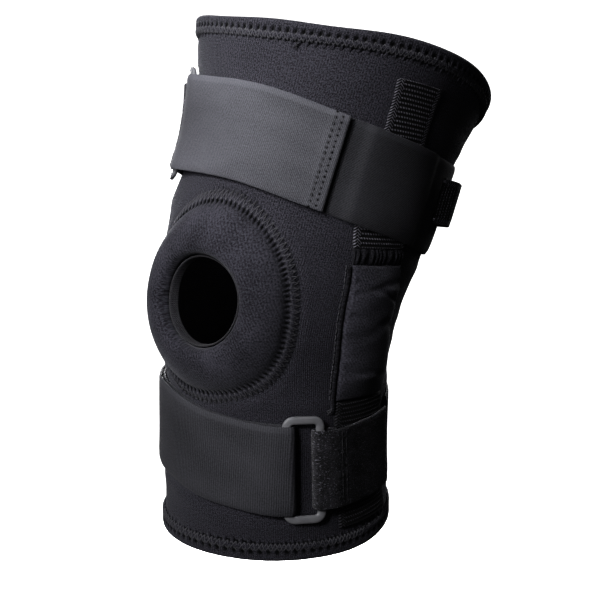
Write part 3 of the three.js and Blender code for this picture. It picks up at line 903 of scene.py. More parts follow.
class KNEESLEEVE_OT_tube(bpy.types.Operator):
    """Makes the padded tube with the kneecap's hole"""

    bl_idname = "knee_sleeve.tube"
    bl_label = "Padded tube"

    def execute(self, context):
        leg = Leg(context)
        s = leg.size
        columns = 240
        turn = np.linspace(-180, 180, columns + 1)
        low = leg.share_of(s.hem_depth * 0.7, 0, turn)
        high = 1 - leg.share_of(s.hem_depth * 0.7, 1, turn)
        outer = low + (high - low) * np.linspace(0, 1, 190)[:, None]
        inner = low + (high - low) * np.linspace(1, 0, 96)[:, None]
        up = np.concatenate([outer, inner])
        rough = relief(leg, up, turn)
        lift = np.concatenate([rough[:len(outer)], rough[len(outer):] * 0.5 - s.wall])
        cut = Cut()
        cut.grid(
            leg.on(up, turn, lift)[:, :-1],
            cloth_of(leg, np.concatenate([up, up[:1]]), turn),
            close_rows=True,
            close_columns=True,
        )
        sleeve = cut.build(context, "sleeve_knit", knit(leg), "knit")

        plug = Cut()
        angle = np.linspace(0, 2 * np.pi, 181)[:-1]
        edge = [leg.on(*leg.pad_place(angle, 0), lift) for lift in (-s.wall - 5 * MM, 10 * MM)]
        plug.grid(np.stack(edge), np.zeros((2, 181, 2)), close_columns=True, caps=True)
        cutter = plug.build(context, "hole_cutter", knit(leg), "knit")
        hole = sleeve.modifiers.new("hole", "BOOLEAN")
        hole.operation = "DIFFERENCE"
        hole.solver = "EXACT"
        hole.object = cutter
        whole = sleeve.data
        graph = context.evaluated_depsgraph_get()
        sleeve.data = bpy.data.meshes.new_from_object(
            sleeve.evaluated_get(graph), preserve_all_data_layers=True, depsgraph=graph
        )
        sleeve.modifiers.clear()
        sleeve.data.set_sharp_from_angle(angle=math.radians(50))
        bpy.data.objects.remove(cutter)
        bpy.data.meshes.remove(whole)
        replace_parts(sleeve, "sleeve")
        return {"FINISHED"}


class KNEESLEEVE_OT_hems(bpy.types.Operator):
    """Makes the turned-over rims with their zigzag stitches"""

    bl_idname = "knee_sleeve.hems"
    bl_label = "Hems"

    def execute(self, context):
        for rim, name in ((0, "lower_hem"), (1, "upper_hem")):
            self.hem(Leg(context), context, rim, name)
        return {"FINISHED"}

    def hem(self, leg, context, rim, name):
        s = leg.size
        pitch = s.hem_pitch
        inward = 1 if rim == 0 else -1
        fine = np.linspace(-180, 180, 1441)
        line = leg.on(rim + inward * leg.share_of(8 * MM, rim, 0), fine)
        stitches = int(round(arc_length(line)[-1] / pitch))
        turn = np.interp(evenly(line, stitches * 7 + 1), np.arange(len(fine)), fine)
        along_rim = np.linspace(0, stitches, stitches * 7 + 1)

        inner = -s.wall - s.clearance - s.hem_wall
        half = (leg.rim_fold - inner) / 2
        roll = 2.6 * MM
        angle = np.linspace(0, np.pi, 13)[1:-1]
        outside = np.linspace(HEM_REACH, roll, 38)
        inside = np.linspace(roll, 10 * MM, 10)
        along = np.concatenate([outside, roll - roll * np.sin(angle), inside, [10.5 * MM, HEM_REACH]])
        fold = leg.rim_fold * ease((HEM_REACH - outside) / (5 * MM))
        fold = fold - 0.25 * MM * ease((outside - 12 * MM) / MM)
        lift = np.concatenate([
            fold, inner + half + half * np.cos(angle), np.full(10, inner), [-s.wall, -s.wall / 2],
        ])

        u, v = along_rim * pitch / MM, np.array(along)[:, None] / MM
        pits = sum(row.depth(u, v, pitch / MM) for row in HEM_ROWS)
        soft = 0.3 * ripple(5 + rim, turn, np.full_like(turn, 0.5), fastest=12)
        puff = 0.3 * peak(v - 8, 1.6) - 0.25 * peak(v - 10.5, 1.5)
        outer_face = np.zeros(len(along))
        outer_face[:38] = 1
        bumps = (soft * 0.6 - 0.75 * pits + puff) * outer_face[:, None] * MM
        wave = 0.5 * MM * ripple(15 + rim, turn, np.full_like(turn, 0.2), fastest=9)
        distance = along[:, None] + wave * ease(1 - along[:, None] / (9 * MM))
        up = rim + inward * leg.share_of(1, rim, turn) * distance
        base = relief(leg, up, turn) * ease((along[:, None] - 9 * MM) / (4 * MM)) * outer_face[:, None]
        points = leg.on(up, turn, lift[:, None] + bumps + base)
        seam_v = np.where(outer_face > 0, along, -50 * MM) / MM
        knit_place = cloth_of(leg, up, turn)
        seam_place = np.stack(np.broadcast_arrays(u, seam_v[:, None]), -1)
        cloth = np.concatenate([knit_place, seam_place], -1)
        cut = Cut()
        cut.grid(points[:, :-1], np.concatenate([cloth, cloth[:1]]), close_rows=True, close_columns=True)
        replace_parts(cut.build(context, name + "_knit", hem_knit(leg), "knit"), name)

        def row(distance, lift):
            place = rim + inward * leg.share_of(distance, rim, turn)
            return leg.on(place, turn, lift), leg.outward(place, turn)

        high, out = row(6.2 * MM, leg.rim_fold - 0.15 * MM)
        deep, _ = row(10 * MM, leg.rim_fold * 0.6 - 0.1 * MM)
        back, forth = np.roll(deep[:-1], -2, 0), np.roll(high[:-1], -2, 0)
        sewn = Cut()
        for paths, normals in (
            zigzag(high, deep, out, stitches, 0.42 * MM, lead=0.7),
            zigzag(back, forth, out[:-1], stitches, 0.3 * MM, lead=0.45),
        ):
            sewn.tubes(paths, normals, s.thread, sides=6)
        sewn.build(context, name + "_stitches", thread(leg), "overlock")


class KNEESLEEVE_OT_pad(bpy.types.Operator):
    """Makes the padded ring round the kneecap, its flat seam and the overlocked edge of the hole"""

    bl_idname = "knee_sleeve.pad"
    bl_label = "Kneecap pad"

    def execute(self, context):
        leg = Leg(context)
        self.ring(leg, context)
        self.binding(leg, context)
        return {"FINISHED"}

    def seam_lift(self, across):
        """Lift of the pad's outer seam at a distance across it in millimetres."""
        return 0.25 * MM + 2.1 * MM * ease((3.6 - across) / 7.4)

    def ring(self, leg, context):
        s = leg.size
        fine = np.linspace(0, 2 * np.pi, 1441)
        line = leg.on(*leg.pad_place(fine, 1))
        stitches = int(round(arc_length(line)[-1] / s.seam_pitch))
        angle = np.interp(evenly(line, stitches * 6 + 1), np.arange(len(fine)), fine)
        spoke = leg.on(*leg.pad_place(angle, 1)) - leg.on(*leg.pad_place(angle, 0))
        spoke = np.linalg.norm(spoke, axis=-1)

        seam_half = 3.9 * MM
        inner_edge = 1 - seam_half / spoke
        crown = np.linspace(0, 1, 34)[:-1, None] ** 1.5 * inner_edge
        seam = np.linspace(-1, 1, 26)[:, None]
        reach = np.concatenate([crown, 1 + seam * seam_half / spoke])
        v = (reach - 1) * spoke / MM
        u = np.linspace(0, stitches, len(angle)) * s.seam_pitch / MM

        lift = follow(PAD_PROFILE, "reach", np.minimum(reach, 1), "lift") * s.pad_rise + s.pad_seat
        blend = ease((v + 6.5) / 3.5)
        lift = lift * (1 - blend) + self.seam_lift(v) * blend
        up, turn = leg.pad_place(angle, reach)
        pits = sum(row.depth(u, v, s.seam_pitch / MM) for row in PAD_ROWS)
        cell = np.cos(2 * np.pi * u * MM / s.seam_pitch)
        lumps = -0.22 * cell * peak(v, 2.6) - 0.3 * peak(v - 1.2, 0.5)
        lumps = lumps + 0.4 * peak(v + 0.9, 1.5)
        pucker = -0.08 * cell * peak(v + 4.4, 1.5)
        loose = 0.16 * ripple(21, turn, up * 2, fastest=5) * ease(-(v + 4) / 5) * ease((reach + 0.02) / 0.2)
        bumps = (lumps + pucker + loose - 0.8 * pits) * MM
        under_reach = np.array([1.14, 1, 0.5, 0])[:, None] * np.ones_like(angle)
        under_up, under_turn = leg.pad_place(angle, under_reach)
        under_lift = np.array([-0.6, -0.4, 0.1, 0.3])[:, None] * MM * np.ones_like(angle)
        up = np.concatenate([up, under_up])
        turn = np.concatenate([turn, under_turn])
        points = leg.on(up, turn, np.concatenate([lift + bumps, under_lift]))
        v = np.concatenate([v, np.full_like(under_up, -40)])
        seam_place = np.stack(np.broadcast_arrays(u, v), -1)
        cloth = np.concatenate([cloth_of(leg, up, turn), seam_place], -1)
        cut = Cut()
        cut.grid(points[:, :-1], np.concatenate([cloth, cloth[:1]]), close_rows=True, close_columns=True)
        pad = cut.build(context, "kneecap_pad_cover", seamed_pad(leg), "pad_knit")
        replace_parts(pad, "kneecap_pad")

        def row(across):
            place = leg.pad_place(angle, 1 + across * MM / spoke)
            return leg.on(*place, self.seam_lift(across) - 0.1 * MM), leg.outward(*place)

        inner, out = row(-2.9)
        outer, _ = row(2.6)
        paths, normals = zigzag(inner, outer, out, stitches, 0.35 * MM, lead=0.5)
        sewn = Cut()
        sewn.tubes(paths, normals, s.thread * 0.85, sides=6)
        sewn.build(context, "kneecap_pad_stitches", thread(leg), "overlock")

    def binding(self, leg, context):
        s = leg.size
        fine = np.linspace(0, 2 * np.pi, 721)
        line = leg.on(*leg.pad_place(fine, 0, s.clearance))
        wraps = int(round(arc_length(line)[-1] / (WRAP_PITCH * MM)))
        angle = np.interp(evenly(line, wraps * 6 + 1), np.arange(len(fine)), fine)
        bend = np.linspace(0, 2 * np.pi, 23)[:, None]
        wrap = np.cos(np.linspace(0, 2 * np.pi * wraps, len(angle)))
        half_wall, half_height = s.binding_wall / 2, (s.binding_rise + s.wall) / 2
        swell = 1 + 0.12 * wrap
        across = half_wall * squared(np.cos(bend), 0.7) * swell
        lift = (s.binding_rise - s.wall) / 2 + half_height * squared(np.sin(bend), 0.6) * (1 + 0.03 * wrap)
        place = leg.pad_place(angle, 0, s.clearance + half_wall)
        spoke = leg.on(*leg.pad_place(angle, 0)) - leg.on(*leg.pad_place(angle, 0, 5 * MM))
        spoke /= np.linalg.norm(spoke, axis=-1, keepdims=True)
        points = leg.on(*place, lift) + spoke * across[..., None]
        u = np.linspace(0, wraps * WRAP_PITCH, len(angle))
        cloth = np.stack(np.broadcast_arrays(bend / (2 * np.pi) * 12, u), -1)
        cut = Cut()
        cut.grid(points[:-1, :-1], cloth, close_rows=True, close_columns=True)
        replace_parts(cut.build(context, "kneecap_overlock", thread_dark(leg), "overlock"), "kneecap_binding")


def section(width, wall, across=30, bend=7):
    """Loop round a band's section: offset across it and share of the wall, 0 below and 1 above."""
    flat = (width - wall) / 2 * np.linspace(-1, 1, across)
    angle = np.linspace(-np.pi / 2, np.pi / 2, bend + 2)[1:-1]
    side = (width - wall) / 2 + wall / 2 * np.cos(angle)
    share = 0.5 + 0.5 * np.sin(angle)
    offset = np.concatenate([flat, side, flat[::-1], -side[::-1]])
    return offset, np.concatenate([0 * flat, share, 0 * flat + 1, share[::-1]])


def band(leg, line, track, width, relief_of=None, wave=0.0, seed=1, offset=0.0):
    """Grid and cloth of a band along a track of turn and lift of its under and its upper face."""
    under_turn, under_lift, over_turn, over_lift = track.T[:, :, None]
    middle = leg.on(follow(line, "turn", wrapped(over_turn[:, 0]), "up"), over_turn[:, 0], over_lift[:, 0])
    along = arc_length(middle)[:, None]
    wall = abs(np.median(over_lift - under_lift))
    across, share = section(width, wall)
    over_is_out = np.where(over_lift >= under_lift, 1, -1)
    extra = 0 * along * across
    if relief_of:
        outside = np.where(over_is_out > 0, share > 0.5, share < 0.5)
        extra = relief_of(along, across) * outside / wall
    if wave:
        loose = ripple(seed, along / MM * 0.9, across / width * 0.25 + 0.5, fastest=6)
        extra = extra + loose * wave / wall
    at = share + extra * over_is_out
    turn = under_turn + (over_turn - under_turn) * at
    lift = under_lift + (over_lift - under_lift) * at
    up = follow(line, "turn", wrapped(turn), "up")
    up = up + leg.share_of(1, up, turn) * (across + offset)
    cloth = np.stack(np.broadcast_arrays(along / MM, across / MM), -1)
    return leg.on(up, turn, lift), np.concatenate([cloth, cloth[:, :1]], 1)


class Layer:
    """The upper layer of a folded band, from its ring to its end, for what is sewn on it."""

    def __init__(self, leg, line, track):
        self.leg = leg
        self.line = line
        above = track[track[:, 1] > track[:, 3]]
        order = np.argsort(above[:, 0])
        self.turn = above[order, 0]
        self.lift = above[order, 1]

    def on(self, turn, across, lift=0.0):
        """Points at turns and distances across the band, and their outward directions."""
        turn, across = np.broadcast_arrays(turn, across)
        up = follow(self.line, "turn", turn, "up")
        up = up + self.leg.share_of(1, up, turn) * across
        high = np.interp(turn, self.turn, self.lift)
        return self.leg.on(up, turn, high + lift), self.leg.outward(up, turn)


class KNEESLEEVE_OT_straps(bpy.types.Operator):
    """Makes the two straps, folded through their rings, with their sewn ends"""

    bl_idname = "knee_sleeve.straps"
    bl_label = "Straps"

    def execute(self, context):
        leg = Leg(context)
        s = leg.size
        for strap, material in ((leg.upper, strap_twill(leg)), (leg.lower, strap_rib(leg))):
            track = leg.folded(
                strap,
                start=-strap.side * (360 - STRAP_START),
                bar=strap.side * s.bar_turn,
                end=-strap.side * strap.reach,
                heading=strap.side,
                thickness=s.strap_wall,
            )

            def face(along, across, half=strap.width / 2):
                edge = (half - np.abs(across)) / MM
                end = (along[-1] - along) / MM
                rolled = -0.6 * (1 - ease(edge / 3.4)) - 0.1 * peak(edge - 3.7, 0.5)
                sewn = sum(peak(end - row.across, 0.6) for row in END_ROWS)
                folded_end = 0.75 * ease((9.5 - end) / 1.2)
                return (rolled * (1 - 0.7 * ease((9 - end) / 2)) + folded_end - 0.35 * sewn) * MM

            points, cloth = band(
                leg, strap.line, track, strap.width, face, wave=0.16 * MM, seed=31 + strap.side
            )
            end = np.stack([cloth[..., 1], cloth[-1, 0, 0] - cloth[..., 0]], -1)
            cloth = np.concatenate([cloth, end], -1)
            cut = Cut()
            _, share = section(strap.width, s.strap_wall)
            cut.grid(points, cloth, close_columns=True, caps=True, finish=(share > 0.5).astype(int))
            # Faces marked 1 take the strap's other face, dimmed as painted shade where the under layer runs
            # round the leg away from the light.
            piece = cut.build(context, strap.name + "_strap_face", (material, strap_back(leg)), "strap")
            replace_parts(piece, strap.name + "_strap")

            layer = Layer(leg, strap.line, track)
            sewn = Cut()
            across = np.linspace(-1, 1, 60) * (strap.width / 2 - 1.6 * MM)
            for row in END_ROWS:
                inward = leg.turn_of(row.across * MM, 0.8, strap.reach)
                turn = -strap.side * (strap.reach - inward)
                curve, out = layer.on(turn, across, 0.35 * MM)
                sewn.tubes(*dashes(curve, out, END_PITCH * MM, 0.7), s.thread * 0.9)
            sewn.build(context, strap.name + "_strap_stitches", thread(leg), "overlock")
        return {"FINISHED"}


class KNEESLEEVE_OT_rings(bpy.types.Operator):
    """Makes the moulded rings"""

    bl_idname = "knee_sleeve.rings"
    bl_label = "Rings"

    def execute(self, context):
        leg = Leg(context)
        s = leg.size
        for strap in (leg.upper, leg.lower):
            half_width = (s.ring_width - s.ring_bar) / 2
            half_height = strap.width / 2 + s.ring_room + s.ring_bar / 2
            path, outward = [], []
            for quarter, (x, y) in enumerate(((1, 1), (-1, 1), (-1, -1), (1, -1))):
                angle = np.radians(np.linspace(0, 90, 13) + 90 * quarter)
                away = np.stack([np.cos(angle), np.sin(angle)], -1)
                corner = np.array([x * (half_width - s.ring_corner), y * (half_height - s.ring_corner)])
                path.append(corner + away * s.ring_corner)
                outward.append(away)
                if quarter % 2:
                    share = np.linspace(1, -1, 16)[1:-1, None]
                    path.append(np.concatenate([share * 0 + x * half_width, share * corner[1]], 1))
                    outward.append(np.concatenate([share * 0 + x, share * 0], 1))
            path, outward = np.concatenate(path), np.concatenate(outward)
            bend = np.linspace(0, 2 * np.pi, 25)
            wide = squared(np.cos(bend), 0.75) * s.ring_bar / 2
            high = squared(np.sin(bend), 0.75) * s.ring_thickness / 2
            across = path[:, None] + outward[:, None] * wide[None, :, None]
            per_metre = leg.ring_degrees(strap)
            turn = strap.side * (s.bar_turn + half_width * per_metre) + across[..., 0] * per_metre
            up = follow(strap.line, "turn", wrapped(turn), "up")
            up = up + leg.share_of(1, up, turn) * across[..., 1]
            points = leg.on(up, turn, leg.ring_lift(strap) + high)
            along = arc_length(np.concatenate([points[:, 0], points[:1, 0]])) / MM
            cloth = np.stack(np.meshgrid(along, bend / (2 * np.pi) * 11, indexing="ij"), -1)
            cut = Cut()
            cut.grid(points[:, :-1], cloth, close_rows=True, close_columns=True)
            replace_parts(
                cut.build(context, strap.name + "_ring_moulded", moulded(leg), "ring"), strap.name + "_ring"
            )
        return {"FINISHED"}


def fibres(leg, on, spans, count, seed, high=0.8 * MM, radius=0.07 * MM):
    """Paths of short curled loops that stand on a piece. on gives points and outward directions."""
    draw = np.random.default_rng(seed)
    first = draw.uniform(*spans[0], count)
    second = draw.uniform(*spans[1], count)
    root, out = on(first, second)
    lean = draw.normal(size=(count, 3))
    lean -= (lean * out).sum(-1, keepdims=True) * out
    lean /= np.linalg.norm(lean, axis=-1, keepdims=True)
    t = np.linspace(0, 1, 5)[:, None]
    length = draw.uniform(0.6, 1.5, count)[:, None, None] * MM
    rise = draw.uniform(0.4, 1, count)[:, None, None] * high
    path = root[:, None] + lean[:, None] * length * t + out[:, None] * (rise * np.sin(np.pi * t) - 0.1 * MM)
    return path, np.repeat(np.cross(lean, out)[:, None], len(t), 1), radius


class KNEESLEEVE_OT_tabs(bpy.types.Operator):
    """Makes the tabs of loop fabric that hold the rings, with their pile and cross stitches"""

    bl_idname = "knee_sleeve.tabs"
    bl_label = "Ring tabs"

    def execute(self, context):
        leg = Leg(context)
        s = leg.size
        for strap in (leg.upper, leg.lower):
            bar = s.bar_turn + (s.ring_width - s.ring_bar) * leg.ring_degrees(strap)
            track = leg.folded(
                strap,
                start=strap.side * TAB_SEAM,
                bar=strap.side * bar,
                end=strap.side * TAB_END,
                heading=-strap.side,
                thickness=s.tab_wall,
            )
            width = strap.width - s.tab_narrowing

            def face(along, across, half=width / 2):
                end = (along[-1] - along) / MM
                fuzz = 0.12 * ripple(41, along / MM * 9, across / MM * 0.13, waves=30, fastest=30)
                seam = peak(end - 38, 0.9) + peak(end - 41, 0.9)
                return (fuzz - 0.45 * seam - 0.4 * peak(end, 1.2)) * MM

            points, cloth = band(leg, strap.line, track, width, face, wave=0.12 * MM, seed=47 + strap.side)
            cut = Cut()
            cut.grid(points, cloth, close_columns=True, caps=True)
            layer = Layer(leg, strap.line, track)
            low, high = sorted((strap.side * (bar + 4), strap.side * (TAB_END - 0.5)))
            half = width / 2 - 0.4 * MM
            pile = fibres(leg, layer.on, ((low, high), (-half, half)), 1500, 50 + strap.side)
            cut.tubes(*pile, sides=3)
            name = strap.name + "_ring_tab"
            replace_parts(cut.build(context, name + "_pile", loop_pile(leg), "loop_fabric"), name)

            sewn = Cut()
            across = np.linspace(-1, 1, 60) * (width / 2 - 1.5 * MM)
            for turn in (TAB_SEAM + 1.2, TAB_SEAM + 3.8):
                curve, out = layer.on(strap.side * turn, across, -0.1 * MM)
                sewn.tubes(*dashes(curve, out, 2.8 * MM, 0.82), s.thread)
            for edge in (-1, 1):
                turn = strap.side * np.linspace(TAB_SEAM + 3.8, TAB_END - 1.5, 60)
                curve, out = layer.on(turn, edge * (width / 2 - 2 * MM), -0.1 * MM)
                sewn.tubes(*dashes(curve, out, 3 * MM, 0.8), s.thread * 0.9)
            sewn.build(context, name + "_stitches", thread_dark(leg), "overlock")
        return {"FINISHED"}


class KNEESLEEVE_OT_rear_loop(bpy.types.Operator):
    """Makes the arched loop of ribbed elastic on the upper strap"""

    bl_idname = "knee_sleeve.rear_loop"
    bl_label = "Rear loop"

    def execute(self, context):
        leg = Leg(context)
        s = leg.size
        strap = leg.upper
        turn = np.linspace(LOOP_START, LOOP_END, 48)
        share = (turn - LOOP_START) / (LOOP_END - LOOP_START)
        arch = ease(np.minimum(share, 1 - share) * 3)
        low = leg.seat(turn, strap.raised) + s.strap_wall + s.clearance + s.loop_rise * arch
        track = np.stack([turn, low, turn, low + s.webbing_wall], -1)

        def ribs(along, across):
            edge = (s.loop_width / 2 - np.abs(across)) / MM
            return 0.2 * np.sin(2 * np.pi * along / MM / RIB_PITCH) * ease((edge - 3) / 0.8) * MM

        points, cloth = band(leg, strap.line, track, s.loop_width, ribs, offset=LOOP_OFFSET)
        cut = Cut()
        edge = s.loop_width / 2 / MM - np.abs(cloth[..., 1])
        cloth = np.stack([cloth[..., 1], cloth[..., 0], edge, cloth[..., 0]], -1)
        cut.grid(points, cloth, close_columns=True, caps=True)
        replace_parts(cut.build(context, "rear_loop_elastic", elastic(leg), "webbing"), "rear_loop")
        sewn = Cut()
        across = np.linspace(-1, 1, 40) * (s.loop_width / 2 - 2 * MM) + LOOP_OFFSET
        for place in (LOOP_START + 2.5, LOOP_END - 2.5):
            up = follow(strap.line, "turn", place, "up") + leg.share_of(1, 0.74, place) * across
            lift = np.interp(place, turn, low) + s.webbing_wall
            curve, out = leg.on(up, place, lift - 0.1 * MM), leg.outward(up, place + 0 * up)
            sewn.tubes(*dashes(curve, out, 2.4 * MM, 0.85), s.thread)
        sewn.build(context, "rear_loop_stitches", thread(leg), "overlock")
        return {"FINISHED"}


def patch(leg, side, set_back, low, high, shape, rows, columns, close=0.6):
    """Closed sheet on the sleeve between two edges. shape gives its height from the shares along and
    across it and the distances along, across and to the nearest edge in millimetres."""
    t = np.linspace(0, 1, rows)[:, None]
    along = t * (1 - close) + close * (0.5 - 0.5 * np.cos(np.pi * t))
    t = np.linspace(0, 1, columns)
    across = t * (1 - close) + close * (0.5 - 0.5 * np.cos(np.pi * t))
    up = low + (high - low) * along + 0 * across
    turn = side * (front(up) + (rear(up) - front(up)) * across + set_back)
    ground = leg.on(up, turn)
    down = arc_length(ground[:, columns // 2])[:, None] / MM
    over = np.swapaxes(arc_length(np.swapaxes(ground, 0, 1)), 0, 1) / MM
    nearest = np.minimum(np.minimum(down, down[-1] - down), np.minimum(over, over[:, -1:] - over))
    height = shape(along, across, down, over, nearest)
    seat = leg.size.clearance
    top = leg.on(up, turn, seat + height * MM)
    bottom = leg.on(up[:, ::-1], turn[:, ::-1], seat - 0.1 * MM)
    cloth = np.stack(np.broadcast_arrays(over, down, np.minimum(over, over[:, -1:] - over), down), -1)
    cut = Cut()
    cut.grid(
        np.concatenate([top, bottom], 1), np.concatenate([cloth, cloth[:, ::-1], cloth[:, :1]], 1),
        close_columns=True, caps=True,
    )
    return cut


def rounded(nearest, radius):
    """From 0.1 at an edge to 1, like a quarter circle."""
    inside = 1 - np.clip(nearest / radius, 0, 1)
    return np.sqrt(1 - 0.99 * inside * inside)


def front(up):
    """Turn of the pockets' front edge."""
    return follow(POCKET_EDGES, "up", up, "front")


def rear(up):
    """Turn of the pockets' rear edge."""
    return follow(POCKET_EDGES, "up", up, "rear")


class KNEESLEEVE_OT_pockets(bpy.types.Operator):
    """Makes the hinge pockets: ribbed elastic, gathered fold, padded cover and piping on each side"""

    bl_idname = "knee_sleeve.pockets"
    bl_label = "Hinge pockets"

    def execute(self, context):
        leg = Leg(context)
        for pocket in POCKETS:
            self.elastic(leg, context, *pocket)
            self.cover(leg, context, *pocket)
            self.piping(leg, context, *pocket)
        return {"FINISHED"}

    def elastic(self, leg, context, place, side, set_back, low):
        wall = leg.size.webbing_wall / MM

        def ribs(along, across, down, over, nearest):
            edge = np.minimum(over, over[:, -1:] - over)
            rib = 0.22 * np.sin(2 * np.pi * down / RIB_PITCH) * ease((edge - 3) / 0.8)
            cord = 0.16 * peak(edge - 1.7, 1.4) * (1 + np.sin(2 * np.pi * down / 1.5))
            end = np.minimum(down, down[-1] - down)
            hem = 0.35 * ease((7 - end) / 1) - 0.4 * peak(end - 5.5, 0.6)
            return (wall - 0.3) * rounded(nearest, 1.1) + (rib + cord + hem) * ease(nearest / 0.8)

        for name, first, last, rows, material in (
            ("webbing", WEBBING_LOW, WEBBING_TOP, 210, elastic(leg)),
            # The lower webbing takes the elastic dimmed as painted shade.
            ("lower_webbing", LOWER_WEBBING_LOW, low - 0.003, 190, elastic_low(leg)),
        ):
            cut = patch(leg, side, set_back, first, last, ribs, rows, 34, close=0.3)
            name = place + "_" + name
            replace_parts(cut.build(context, name + "_ribs", material, "webbing"), name)

        def pleats(along, across, down, over, nearest):
            fold = np.cos(2 * np.pi * (over / 3.1 + 0.35 * np.sin(over / 2.3) + 0.12 * np.sin(down * 0.7)))
            belly = np.sin(np.pi * np.clip(along, 0, 1)) ** 0.6
            return 0.4 + 2.3 * belly * (0.72 + 0.28 * fold) * rounded(nearest, 1.5)

        cut = patch(leg, side, set_back, GATHER_LOW, GATHER_TOP, pleats, 26, 110, close=0.2)
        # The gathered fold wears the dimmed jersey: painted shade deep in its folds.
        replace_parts(cut.build(context, place + "_gather_pleats", gathered(leg), "webbing"), place + "_gather")

    def cover(self, leg, context, place, side, set_back, low):
        s = leg.size
        rise, edge = s.pocket_rise / MM, s.pocket_edge / MM

        def cushion(along, across, down, over, nearest):
            crown = np.sqrt(np.sin(np.pi * np.clip(across, 0, 1)))
            crown = crown * np.minimum(1, np.minimum(5 * along + 0.1, 5 * (1 - along) + 0.1))
            end = down[-1] - down
            folds = 0
            for below, slant, deep, wide in COVER_FOLDS:
                bent = end - below - slant * over + 0.6 * np.sin(over * 0.35 + below)
                fade = ease(over / 4) * ease((over[:, -1:] - over) / 4)
                folds = folds - 1.7 * deep * peak(bent, wide) * fade
            loose = 0.35 * ripple(61 + side, over * 3, down / 60, fastest=5) * crown
            puckers = 0.25 * np.cos(2 * np.pi * down / 5.2) * peak(over - 2, 1.6)
            high = edge * 0.7 + (rise - edge * 0.7) * crown
            return high * rounded(nearest, 1.6) + (folds + loose + puckers) * ease(nearest / 2)

        cut = patch(leg, side, set_back, low, POCKET_TOP, cushion, 110, 50)
        pocket = cut.build(context, place + "_pocket_cover", pad_knit(leg), "pad_knit")
        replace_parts(pocket, place + "_pocket")

    def piping(self, leg, context, place, side, set_back, low):
        s = leg.size
        up = np.linspace(low - 0.026, POCKET_TOP, 260)
        middle = s.clearance + s.piping_width / 2
        turn = side * (front(up) + set_back - leg.turn_of(middle, up, side * front(up)))
        lift = s.clearance + 0.75 * MM + 0.1 * MM * np.sin(up * 160)
        path = leg.on(up, turn, lift)[None]
        out = leg.outward(up, turn)[None]
        taper = ease(np.minimum(np.arange(260), np.arange(260)[::-1]) / 6 + 0.3)
        cut = Cut()
        cut.tubes(path, out, 1.05 * MM * taper[None], sides=14, flat=0.8)
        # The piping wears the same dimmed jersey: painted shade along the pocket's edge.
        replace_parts(cut.build(context, place + "_piping_cord", gathered(leg), "overlock"), place + "_piping")
        sewn = Cut()
        turn = turn - side * leg.turn_of(1.5 * MM, up, turn)
        curve, out = leg.on(up, turn, 0.25 * MM), leg.outward(up, turn)
        sewn.tubes(*dashes(curve, out, 3.2 * MM, 0.75), s.thread * 0.9)
        sewn.tubes(*tangle(leg, low - 0.02, turn[0], 90 + side, 14), s.thread * 0.8)
        sewn.build(context, place + "_piping_stitches", thread(leg), "overlock")


def tangle(leg, up, turn, seed, count, spread=2.2 * MM, seat=1.2 * MM):
    """Paths of a small knot of thread ends on the sleeve."""
    draw = np.random.default_rng(seed)
    root, out = leg.on(up, turn, seat), leg.outward(up, turn)
    t = np.linspace(0, 2 * np.pi, 12)[:, None]
    path = np.repeat(root[None, None], count, 0) + 0 * t
    for waves in (1, 2, 3):
        swing = draw.normal(size=(count, 1, 3)) * spread / waves ** 1.4 * 0.45
        path = path + swing * np.sin(waves * t / 2 + draw.uniform(0, 6, (count, 1, 1)))
    height = ((path - root) * out).sum(-1, keepdims=True)
    path = path - out * height * 0.55
    return path, np.broadcast_to(out, path.shape)


class KNEESLEEVE_OT_details(bpy.types.Operator):
    """Adds the knot of thread ends on the rim and the flat seam down the back"""

    bl_idname = "knee_sleeve.details"
    bl_label = "Thread ends and back seam"

    def execute(self, context):
        leg = Leg(context)
        s = leg.size
        sewn = Cut()
        sewn.tubes(*tangle(leg, 0.963, 13, 7, 9, spread=1.6 * MM), s.thread * 0.8)
        sewn.tubes(*tangle(leg, 0.035, -150, 8, 7, spread=1.6 * MM), s.thread * 0.8)
        up = np.linspace(0.06, 0.94, 500)
        edges = []
        for aside in (-2.4 * MM, 2.4 * MM):
            turn = 180 + leg.turn_of(aside, up, 180 + 0 * up)
            edges.append(leg.on(up, turn, relief(leg, up, turn) + 0.05 * MM))
        out = leg.outward(up, 180 + 0 * up)
        count = int(arc_length(edges[0])[-1] / s.seam_pitch)
        sewn.tubes(*zigzag(edges[0], edges[1], out, count, 0.4 * MM), s.thread)
        sewn.tubes(*zigzag(edges[1], edges[0], out, count, 0.25 * MM), s.thread * 0.9)
        sewn.build(context, "seam_threads", thread_dark(leg), "overlock")
        return {"FINISHED"}


# Lamps: turn and rise in degrees from the camera's direction, size in metres or degrees of the cone,
# and the place they shine on, in metres beside and over the middle of the picture
Lamp = namedtuple("Lamp", "name kind turn rise size watts beside over")
LAMPS = [
    Lamp("key", "SPOT", -32, 30, 14, 58, -0.005, 0.09),
    Lamp("high", "SPOT", -20, 60, 16, 10, -0.02, 0.16),
    Lamp("low", "SPOT", -20, 18, 18, 22, 0, -0.08),
    Lamp("side", "AREA", -35, 10, 0.6, 4.2, 0, 0),
    Lamp("top", "AREA", -10, 85, 0.6, 2, 0, 0),
    Lamp("back", "AREA", 182, 20, 0.8, 44, 0, 0),
    Lamp("back_side", "AREA", 155, 25, 0.8, 5, 0, 0),
]


